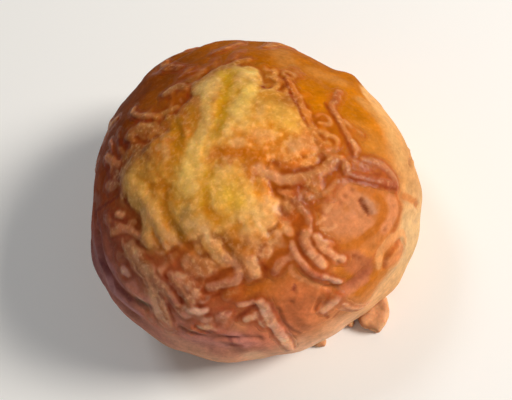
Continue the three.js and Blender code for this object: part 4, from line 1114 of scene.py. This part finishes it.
# Where the cheese is toasted: centre, radius, strength.
TOAST_SPOTS = (
    ((-1, -4), 2.2, 0.7), ((2, -6), 2.2, 0.8), ((5, -9), 2.2, 0.9), ((8, -5), 1.8, 0.6),
    ((12, -9), 3.4, 0.7), ((8.6, -11.4), 2.4, 0.6), ((16.4, -10.6), 2.8, 0.6), ((14, -5.4), 2.4, 0.3),
    ((5.4, -3), 2.4, 0.4), ((10.4, -27.6), 2.4, 0.4), ((-3.6, -20.4), 2.4, 0.3),
    ((-8.6, -13.6), 2.4, 0.3), ((6, -16), 2.2, 0.4), ((12, -17), 2.6, 0.4), ((19, -15), 2.2, 0.8),
    ((-14, 12), 3.0, 0.5), ((-8, 11), 2.6, 0.6), ((-2, 10), 2.6, 0.5), ((-19, -16), 3.4, 0.3),
    ((-10, -22), 2.2, 0.8), ((-7, -26), 2.0, 0.6), ((2, 17), 2.6, 0.8), ((23, 0), 2.4, 0.7),
    ((22, -7), 2.0, 0.7), ((6, -26), 3.0, 0.7), ((-22, -12), 3.0, 0.5), ((-22, -23), 2.6, 0.4),
)


def blended(points, patches, which=2):
    """The mix of the patches' colours at each point, by nearness; which one of a patch's entries."""
    total = np.full(len(points), 1e-9)
    colour = np.zeros((len(points), 3))
    for patch in patches:
        (u, v), spread = patch[:2]
        centre = crust_point(np.array([u], float), np.array([v], float))[0]
        weight = np.exp(-((points - centre) ** 2).sum(1) / (2 * spread**2)) + 1e-9
        total += weight
        colour += weight[:, None] * linear(*patch[which])
    return colour / total[:, None]


def mixed(colours, other, share):
    """The colours with a share of another one in each."""
    return colours + (other - colours) * np.clip(share, 0, 1)[:, None]


def light_on(u, v):
    """About how much light falls on a place of the crust, as a share of a white one's in full light."""
    normal = crust_normal(np.array([u], float), np.array([v], float))[0]
    key = KEY_LIGHT * max(float(normal @ (np.array(KEY_FROM) / KEY_LENGTH)), 0.0)
    window = WINDOW_LIGHT * max(float(normal @ np.array(WINDOW_FROM)), 0.0)
    up = (1 + normal[2]) / 2
    return key + window + SKY_LIGHT * up + FLOOR_LIGHT * (1 - up)


def marked(colours, u, v, points):
    """The colours with the soft strokes of SHOWN_MARKS and the WASHES over them."""
    wander = [0.35 * noise(points, 2.0, seed) + 0.15 * noise(points, 0.9, seed + 1) for seed in (48, 50)]
    spots = np.stack([u, v], axis=-1) + np.stack(wander, axis=-1)
    for colour, width, strength, path in SHOWN_MARKS:
        near = np.flatnonzero(np.hypot(*(spots - np.mean(path, axis=0)).T) < STROKE_REACH)
        line = curve_on_map(path)
        away = to_path(spots[near], line)[0] / width
        # A stroke's shown colour is divided by the light at its middle only, so the shadows and highlights
        # painted into the strokes stay in the paint.
        paint = np.clip(linear(*colour) / light_on(*line[len(line) // 2]), 0, PALEST)
        colours[near] = mixed(colours[near], paint, strength * smoothstep(1.6, 0.4, away))
    for centre, radius, lighter in WASHES:
        colours *= 1 + (lighter - 1) * hump(*spots.T, centre, radius)[:, None]
    return colours


def pale_share(u, v, points):
    """How pale the crust is: nothing on the dome, all of it from PALE_FROM down."""
    turn = np.degrees(np.arctan2(v, u))
    angles, starts, softness = np.array(PALE_FROM).T
    start = np.interp(turn, angles, starts, period=360)
    soft = np.interp(turn, angles, softness, period=360)
    past = np.hypot(u, v) - start + 2.2 * noise(points, 11.0, 43) + 1.1 * noise(points, 4.0, 44)
    return smoothstep(-1.0, 1.0, past / soft)


def crust_colour(u, v, points, fold_shade, topping):
    """The crust's colour with the film of fat and the caramel lines round the shreds, which are partly
    painted shade, with painted shade in folds, pits and low places, and the strokes' painted shadows
    and highlights.
    """
    brown, pale = blended(points, CRUST_COLOURS), blended(points, PALE_COLOURS)
    colours = mixed(brown, pale, pale_share(u, v, points))
    colours *= (1 + 0.12 * fractal(points, 7.0, 41, 3) + 0.07 * fractal(points, 1.9, 49, 2))[:, None]
    wander = [noise(points, 2.5, seed) for seed in (46, 47)]
    spots = np.stack([u, v], axis=-1) + 0.5 * np.stack(wander, axis=-1)
    for colour, width, strength, path in CRUST_MARKS:
        away = widths_off(spots, path, width)
        colours = mixed(colours, linear(*colour), strength * smoothstep(1.35, 0.65, away))
    # Painted shade in the folds and pits.
    colours = mixed(marked(colours, u, v, points), FOLD_SHADE, 0.5 * fold_shade)
    film, line, hollow_shade = (topping.at(name, u, v) for name in ("film", "line", "hollow_shade"))
    colours = mixed(colours, blended(points, CHEESE_COLOURS), 0.5 * film)
    # Caramel lines round the shreds, partly painted shade, and painted shade in the low places next to the
    # cheese.
    strength = np.clip(0.75 + 0.5 * noise(points, 3.5, 42), 0, 1)
    return mixed(colours, CARAMEL_AND_SHADE, line * strength + 0.4 * hollow_shade)


# ---- Crust ----

# Fine wrinkles as (path, width, depth), and small round pits.
WRINKLES = (
    (((3, -46), (6, -47.3), (9, -47.3), (13.5, -46.5)), 0.8, 0.5),
    (((2, -45), (-1, -47), (-4, -49.5)), 0.6, 0.5),
    (((33, -33), (29, -38), (23, -43), (15, -46)), 0.8, 0.2),
    (((30, -31), (27, -37), (21, -41)), 0.7, 0.15),
    (((-36, -28), (-32, -37), (-23, -47)), 0.8, 0.4),
    (((-32, -31), (-31, -36), (-28, -42)), 0.7, 0.4),
    (((-36, 16), (-40, 4), (-44, -6)), 0.9, 0.4),
    (((-45, 10), (-48, -3), (-47, -16)), 0.9, 0.4),
    (((-38, 7), (-41.4, -1), (-41.6, -7), (-40.8, -12), (-38.8, -18)), 1.3, 0.7),
    (((20.8, -30), (20.6, -32), (21.3, -34)), 0.6, 0.3),
    (((19.6, -49), (21.5, -45.8), (25, -44.8), (29, -45.6), (30.4, -49)), 0.6, 0.4),
    (((33, -35), (38, -38), (42, -40.6)), 1.0, 0.4),
    (((42, -28), (46, -26), (52, -25.5)), 0.8, 0.7),
    (((-13.6, -55), (-14, -49), (-12, -43)), 0.7, 0.25),
)
PITS = (
    (18.5, -27.5), (16.8, -28.2), (20.4, -26.9), (12.6, -41.2), (13.5, -42.3), (8.5, -40.2),
    (23.6, -39.7), (-5, -41.6), (-7.5, -43.3), (-32, -43),
)
PIT_RADIUS = 0.55
PIT_DEPTH = 0.4

# Points in each ring of the crust, how far it is lowered below the cheese, and the place on the map
# that stands for the whole base.
CRUST_SIDES = 540
UNDER_CHEESE = 0.5
OFF_MAP = 99.0


def crust_detail(u, v, points):
    """Fine relief of the crust, and how much of it is in a fold or pit, where shade is painted."""
    height = 0.2 * noise(points, 8.0, 21) + 0.06 * fractal(points, 2.4, 22, 2)
    spots = np.stack([u, v], axis=-1)
    fold_shade = np.zeros(len(u))
    for path, width, depth in WRINKLES:
        away = widths_off(spots, path, width)
        height += depth * (0.45 * bell(away - 2) - bell(away))
        fold_shade = np.maximum(fold_shade, depth * bell(0.9 * away))
    for pit in PITS:
        height -= PIT_DEPTH * hump(u, v, pit, PIT_RADIUS)
        fold_shade = np.maximum(fold_shade, hump(u, v, pit, PIT_RADIUS / 0.8))
    return height, np.clip(fold_shade, 0, 1)


def make_crust(topping):
    """The crust in rings from the top to the rim, and a slightly uneven base inside the rim."""
    rings = (np.linspace(0.5, 14, 16), np.arange(14.45, 60, 0.45), np.linspace(60.5, RIM, 42))
    rings = np.concatenate(rings)
    angle = np.linspace(0, 2 * math.pi, CRUST_SIDES, endpoint=False)
    s, angle = (part.ravel() for part in np.meshgrid(rings, angle, indexing="ij"))
    u, v = s * np.cos(angle), s * np.sin(angle)
    smooth = crust_point(u, v)
    height, fold_shade = crust_detail(u, v, smooth)
    height -= UNDER_CHEESE * topping.at("cover", u, v)
    foot = smoothstep(0, 6, RIM - s)
    points = smooth + crust_normal(u, v) * (height * foot)[:, None]
    points[:, 2] = np.maximum(points[:, 2], 0)

    rim = points[-CRUST_SIDES:].copy()
    shares = np.linspace(1, 0.03, 19)[1:]
    base = np.concatenate([rim * (share, share, 1) for share in shares])
    inside = smoothstep(1.0, 0.9, np.repeat(shares, CRUST_SIDES))
    base[:, 2] = 0.12 * np.maximum(noise(base, 3.0, 31), 0) * inside
    crown = crust_point(np.array([1e-4]), np.array([0.0]), -UNDER_CHEESE)
    points = np.vstack([points, base, crown, [[0, 0, 0]]])

    rows = len(rings) + len(shares)
    top, last = rows * CRUST_SIDES, rows * CRUST_SIDES + 1
    faces = grid_faces(rows, CRUST_SIDES)
    turn = [(i, (i + 1) % CRUST_SIDES) for i in range(CRUST_SIDES)]
    faces += [(top, a, b) for a, b in turn]
    faces += [(last, (rows - 1) * CRUST_SIDES + b, (rows - 1) * CRUST_SIDES + a) for a, b in turn]

    crust = make_piece("crust", points, faces, ["bun"])
    extra = len(points) - len(u)
    u, v = (np.concatenate([part, np.full(extra, OFF_MAP)]) for part in (u, v))
    fold_shade = np.concatenate([fold_shade, np.zeros(extra)])
    colours = crust_colour(u, v, points, fold_shade, topping)
    colours = mixed(colours, BASE_BROWN, 0.75 * smoothstep(1.5, 0.0, points[:, 2]))
    # The last number is the share of the crust with pale specks, painted glints.
    set_paint(crust.data, colours, 0.15)
    return crust


# ---- Cheese ----

CHEESE_NODES = [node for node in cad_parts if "cheese" in node]


def sheet(topping):
    """Faces of a closed skin from the top of the cheese to a coarser underside sunk in the crust."""
    rows, columns = (size // 2 * 2 - 1 for size in topping.shape)
    index = np.arange(topping.u.size).reshape(topping.shape)[:rows, :columns]
    there = (topping.height > SUNK + 0.1)[:rows, :columns]
    blocks = there[:-1:2, :-1:2] | there[1::2, 1::2] | there[2::2, :-1:2]
    blocks = blocks | there[:-1:2, 2::2] | there[2::2, 2::2]
    fine = np.repeat(np.repeat(blocks, 2, axis=0), 2, axis=1)
    quads = np.stack([index[:-1, :-1], index[1:, :-1], index[1:, 1:], index[:-1, 1:]], axis=-1)[fine]
    coarse = index[::2, ::2]
    lower = np.stack([coarse[:-1, :-1], coarse[:-1, 1:], coarse[1:, 1:], coarse[1:, :-1]], axis=-1)[blocks]
    size = topping.u.size
    sides = np.concatenate([np.stack([lower[:, i], lower[:, (i + 1) % 4]], axis=1) for i in range(4)])
    known = {tuple(side) for side in sides.tolist()}
    walls = [(a + size, b + size, b, (a + b) // 2, a)[::-1] for a, b in known if (b, a) not in known]
    return quads.tolist() + (lower + size).tolist() + walls


def make_cheese(topping):
    """One sheet for the pool, the shreds and the film round them."""
    u, v = topping.u.ravel(), topping.v.ravel()
    smooth = crust_point(u, v)
    detail, fold_shade = crust_detail(u, v, smooth)
    normal = crust_normal(u, v)
    height = topping.height.ravel()
    top = smooth + normal * (detail * smoothstep(1.2, 0.2, height) + height)[:, None]
    below = smooth + normal * UNDERSIDE
    points = np.vstack([top, below])
    faces = sheet(topping)
    used = np.unique(np.concatenate([np.ravel(face) for face in faces]))
    renumber = np.zeros(len(points), int)
    renumber[used] = np.arange(len(used))
    faces = [[int(renumber[corner]) for corner in face] for face in faces]
    cheese = make_piece("cheese_topping", points[used], faces, CHEESE_NODES)
    colours = cheese_colour(u, v, top, fold_shade, topping)
    colours = np.vstack([colours, colours])[used]
    body = smoothstep(0.1, 0.4, height)
    # How much of the cheese has pale specks, painted glints: more on the pool's ridges and outside the
    # pool.
    glint_specks = body * (0.4 + 0.3 * topping.ridge.ravel() + 0.35 * (1 - topping.pool.ravel()))
    set_paint(cheese.data, colours, np.tile(glint_specks, 2)[used])
    return cheese


def cheese_colour(u, v, points, fold_shade, topping):
    """The colour of the cheese: deeper where it is thin or low and paler on the tops of its beads, the
    low and top tones partly painted shade and highlight.
    """
    beads = topping.beads.ravel()
    crown = topping.crown.ravel()
    pool = topping.pool.ravel()
    low, high = (blended(points, CHEESE_COLOURS, which) for which in (2, 3))
    # Higher places, ridges and bead tops are made paler, partly a painted highlight.
    light = smoothstep(-0.15, 0.15, topping.relative.ravel() + 0.05 * noise(points, 2.2, 52))
    broad = 0.6 * topping.ridge.ravel() + 0.3 * light + 0.4 * (beads - 0.5) + 0.25 * noise(points, 3.0, 54)
    tone = topping.tint.ravel() * crown * (1 - pool)
    strand = smoothstep(0.0, 0.7, crown) * (0.5 + 1.2 * (beads - 0.5)) + 0.4 * tone
    share = broad * pool + strand * (1 - pool)
    colours = mixed(low, high, share)
    colours *= (1 + 0.1 * fractal(points, 1.8, 56, 2))[:, None]
    toast = np.zeros(len(points))
    for centre, radius, amount in TOAST_SPOTS:
        toast += amount * hump(u, v, centre, radius)
    gaps = noise(points, 1.7, 55) + 0.5 * noise(points, 0.9, 57)
    colours = mixed(colours, BEAD_PALE, 0.45 * toast * smoothstep(0.1, -0.5, gaps))
    toast = np.clip(1.4 * toast * smoothstep(-0.4, 0.5, gaps), 0, 0.85)
    colours = mixed(colours, TOASTED, toast * (1 - 0.7 * crown * beads))
    colours = marked(colours, u, v, points)
    body = np.maximum(smoothstep(0.05, 0.25, topping.height.ravel()), pool)
    under = crust_colour(u, v, points, fold_shade, topping)
    colours = mixed(under, colours, body)
    # The pool's hollows go deeper mustard and low places outside it darker, both painted shade; the dark
    # lines by the shreds are partly caramelised fat and partly painted shade, and dark-toned shreds keep
    # their own colour.
    hollow_shade = topping.hollow_shade.ravel()
    colours = mixed(colours, DEEP_FAT_AND_SHADE, 0.3 * hollow_shade * pool)
    dark = 0.7 * topping.line.ravel() + 0.6 * np.maximum(-tone, 0) + 0.5 * hollow_shade * (1 - pool)
    return mixed(colours, CARAMEL_AND_SHADE, dark * body)


# ---- Crisp scraps ----

# Fineness of their meshes, and their colour on the faces and at the edges.
SCRAP_VOXEL = 0.25
SCRAP_TAN = linear(204, 148, 106)
SCRAP_EDGE = linear(142, 92, 68)


def fused(points, faces, voxel):
    """A closed mesh remade with an even skin: (points in millimetres, faces)."""
    mesh = bpy.data.meshes.new("remade")
    mesh.from_pydata((points * MM).tolist(), [], faces)
    source = in_scene("remade", mesh)
    modifier = source.modifiers.new("remesh", "REMESH")
    modifier.mode = "VOXEL"
    modifier.voxel_size = voxel * MM
    remade = bpy.data.meshes.new_from_object(source.evaluated_get(bpy.context.evaluated_depsgraph_get()))
    bpy.data.objects.remove(source)
    bpy.data.meshes.remove(mesh)
    points, _ = read_mesh(remade)
    faces = [list(face.vertices) for face in remade.polygons]
    bpy.data.meshes.remove(remade)
    return points / MM, faces


def make_scrap(node):
    """A scrap of baked cheese from its solid, with rounded, blistered faces."""
    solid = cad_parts[node].data
    points, _ = read_mesh(solid)
    faces = [list(face.vertices) for face in solid.polygons]
    points, faces = fused(points / MM - SHIFT, faces, SCRAP_VOXEL)
    scrap = make_piece(node.replace("crisp", "baked"), points, faces, [node])
    _, edges = read_mesh(scrap.data)
    points = relax(points, edges, 24)
    set_points(scrap.data, points)
    blisters = 0.35 * noise(points, 3.0, 61) + 0.06 * noise(points, 1.2, 62)
    points += normals_of(scrap.data) * blisters[:, None]
    points[:, 2] = np.maximum(points[:, 2], 0)
    set_points(scrap.data, points)
    stands_out = np.einsum("ij,ij->i", normals_of(scrap.data), points - relax(points, edges, 16))
    colours = mixed(np.tile(SCRAP_TAN, (len(points), 1)), SCRAP_EDGE, 1.6 * stands_out)
    colours *= (1 + 0.2 * fractal(points, 2.5, 63, 2))[:, None]
    # The last number is the share of each scrap with pale specks, painted glints.
    set_paint(scrap.data, colours, 0.3)
    return scrap


# ---- Materials ----

# How each food looks: size of its grain and depth of its bumps in metres, range of its roughness, how
# much it is mottled, how much and how far (in metres) light spreads below its skin, and its coat of
# fat with the roughness of that.
LOOKS = {
    "crust": dict(grain=0.0009, depth=0.00006, rough=(0.55, 0.7), mottling=0.15,
                  subsurface=0.1, radius=0.0008, coat=0.03, gloss=0.2),
    "cheese": dict(grain=0.0008, depth=0.0001, rough=(0.45, 0.6), mottling=0.1,
                   subsurface=0.8, radius=0.0022, coat=0.2, gloss=0.16),
    "crisp": dict(grain=0.0009, depth=0.00005, rough=(0.4, 0.6), mottling=0.12,
                  subsurface=0.4, radius=0.002, coat=0.08, gloss=0.2),
}

# What a pale speck, a painted glint, adds to the paint, how far red, green and blue go below the skin,
# and the gloss.
PAINTED_GLINT = (0.16, 0.12, 0.06)
SCATTER = (1.0, 0.36, 0.12)
FAT_IOR = 1.35
COAT_IOR = 1.4
SPECULAR = 0.03


def new_material(name):
    """An empty material with its shader."""
    material = bpy.data.materials.new(name)
    material.use_nodes = True
    tree = material.node_tree
    tree.nodes.clear()
    output = tree.nodes.new("ShaderNodeOutputMaterial")
    shader = tree.nodes.new("ShaderNodeBsdfPrincipled")
    tree.links.new(shader.outputs["BSDF"], output.inputs["Surface"])
    return material, tree, shader


def add(tree, kind, inputs=None, **settings):
    """A shader node with its settings, its inputs linked to sockets or set to values."""
    node = tree.nodes.new(kind)
    for key, value in settings.items():
        setattr(node, key, value)
    for key, value in (inputs or {}).items():
        if isinstance(value, bpy.types.NodeSocket):
            tree.links.new(value, node.inputs[key])
        else:
            node.inputs[key].default_value = value
    return node


def noise_node(tree, size, detail=3.0, roughness=0.55):
    """Noise on the object's own coordinates, with lumps about size metres across."""
    place = add(tree, "ShaderNodeTexCoord")
    settings = {"Scale": 1 / size, "Detail": detail, "Roughness": roughness}
    return add(tree, "ShaderNodeTexNoise", {"Vector": place.outputs["Object"], **settings})


def ranged(tree, value, low, high, low_to, high_to):
    """The value carried over from one range to another."""
    ranges = {"From Min": low, "From Max": high, "To Min": low_to, "To Max": high_to}
    return add(tree, "ShaderNodeMapRange", {"Value": value, **ranges}).outputs["Result"]


def tinted(tree, colour, factor):
    """The colour made lighter or darker by a factor."""
    scale = add(tree, "ShaderNodeVectorMath", {0: colour, "Scale": factor}, operation="SCALE")
    return scale.outputs["Vector"]


def food_material(name, grain, depth, rough, mottling, subsurface, radius, coat, gloss):
    """The painted colours with fine mottling, pale specks that are painted glints, grain and a thin coat of
    fat.
    """
    material, tree, shader = new_material(name)
    paint = add(tree, "ShaderNodeAttribute", attribute_name="paint")
    mottle = noise_node(tree, 3.0 * grain, 4.0)
    speck = noise_node(tree, 0.8 * grain, 2.0)
    shade = ranged(tree, mottle.outputs["Fac"], 0.3, 0.7, 1 - mottling, 1 + mottling)
    colour = tinted(tree, paint.outputs["Color"], shade)
    shade = ranged(tree, speck.outputs["Fac"], 0.25, 0.75, 1 - 0.7 * mottling, 1 + 0.7 * mottling)
    colour = tinted(tree, colour, shade)
    # Pale specks where this noise peaks, as much as the paint's alpha allows: painted glints.
    glint_dots = noise_node(tree, 1.3 * grain, 1.5)
    glint_dots = ranged(tree, glint_dots.outputs["Fac"], 0.5, 0.72, 0.0, 1.0)
    amount = add(tree, "ShaderNodeMath", {0: glint_dots, 1: paint.outputs["Alpha"]}, operation="MULTIPLY")
    pale = add(tree, "ShaderNodeVectorMath", {0: colour, 1: PAINTED_GLINT}, operation="ADD")
    glinted = add(tree, "ShaderNodeMix", {"Factor": amount.outputs[0]}, data_type="RGBA")
    tree.links.new(colour, glinted.inputs[6])
    tree.links.new(pale.outputs["Vector"], glinted.inputs[7])
    tree.links.new(glinted.outputs[2], shader.inputs["Base Color"])
    roughness = ranged(tree, mottle.outputs["Fac"], 0.3, 0.7, rough[0], rough[1])
    tree.links.new(roughness, shader.inputs["Roughness"])
    fine = noise_node(tree, grain, 5.0, 0.6)
    bump = add(tree, "ShaderNodeBump", {"Height": fine.outputs["Fac"], "Distance": depth, "Strength": 1.0})
    tree.links.new(bump.outputs["Normal"], shader.inputs["Normal"])
    tree.links.new(bump.outputs["Normal"], shader.inputs["Coat Normal"])
    shader.inputs["Subsurface Weight"].default_value = subsurface
    shader.inputs["Subsurface Radius"].default_value = SCATTER
    shader.inputs["Subsurface Scale"].default_value = radius
    shader.inputs["IOR"].default_value = FAT_IOR
    shader.inputs["Specular IOR Level"].default_value = SPECULAR
    shader.inputs["Coat Weight"].default_value = coat
    shader.inputs["Coat IOR"].default_value = COAT_IOR
    shader.inputs["Coat Roughness"].default_value = gloss
    return material


# ---- Stage ----

FLOOR_REACH = 3.0
FLOOR_COLOUR = (0.92, 0.92, 0.92, 1)
LIGHT_DISTANCE = 1.2
KEY_COLOUR = (1.0, 0.94, 0.85)
WINDOW_COLOUR = (0.92, 0.96, 1.0)
STUDIO_COLOUR = (1.0, 0.97, 0.92, 1)
STUDIO_STRENGTH = 0.22


def make_floor():
    """A plain pale floor."""
    mesh = bpy.data.meshes.new("floor")
    corners = [(x * FLOOR_REACH, y * FLOOR_REACH, 0) for x, y in ((-1, -1), (1, -1), (1, 1), (-1, 1))]
    mesh.from_pydata(corners, [], [(0, 1, 2, 3)])
    floor = in_scene("floor", mesh)
    material, _, shader = new_material("pale floor")
    shader.inputs["Base Color"].default_value = FLOOR_COLOUR
    shader.inputs["Roughness"].default_value = 0.8
    mesh.materials.append(material)


def make_light(name, direction, size, power, colour):
    """A square lamp that faces the bun."""
    light = bpy.data.lights.new(name, "AREA")
    light.size = size
    light.energy = power
    light.color = colour
    lamp = in_scene(name, light)
    lamp.location = VIEW_TARGET + LIGHT_DISTANCE * Vector(direction).normalized()
    lamp.rotation_euler = Vector(direction).to_track_quat("Z", "Y").to_euler()


def make_lights():
    """A warm key light, a weak cool one and a soft, dim studio round them."""
    make_light("key", KEY_FROM, size=0.36, power=16.5, colour=KEY_COLOUR)
    make_light("window", WINDOW_FROM, size=0.3, power=2.4, colour=WINDOW_COLOUR)
    world = bpy.data.worlds.new("studio")
    world.use_nodes = True
    background = world.node_tree.nodes["Background"]
    background.inputs["Color"].default_value = STUDIO_COLOUR
    background.inputs["Strength"].default_value = STUDIO_STRENGTH
    bpy.context.scene.world = world
    bpy.context.scene.view_settings.view_transform = "Standard"


# ---- The scene ----

make_camera()
make_floor()
make_lights()

topping = make_topping()
crust = make_crust(topping)
cheese = make_cheese(topping)
scraps = [make_scrap(node) for node in sorted(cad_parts) if node.startswith("crisp")]

materials = {name: food_material(name, **look) for name, look in LOOKS.items()}
crust.data.materials.append(materials["crust"])
cheese.data.materials.append(materials["cheese"])
for scrap in scraps:
    scrap.data.materials.append(materials["crisp"])
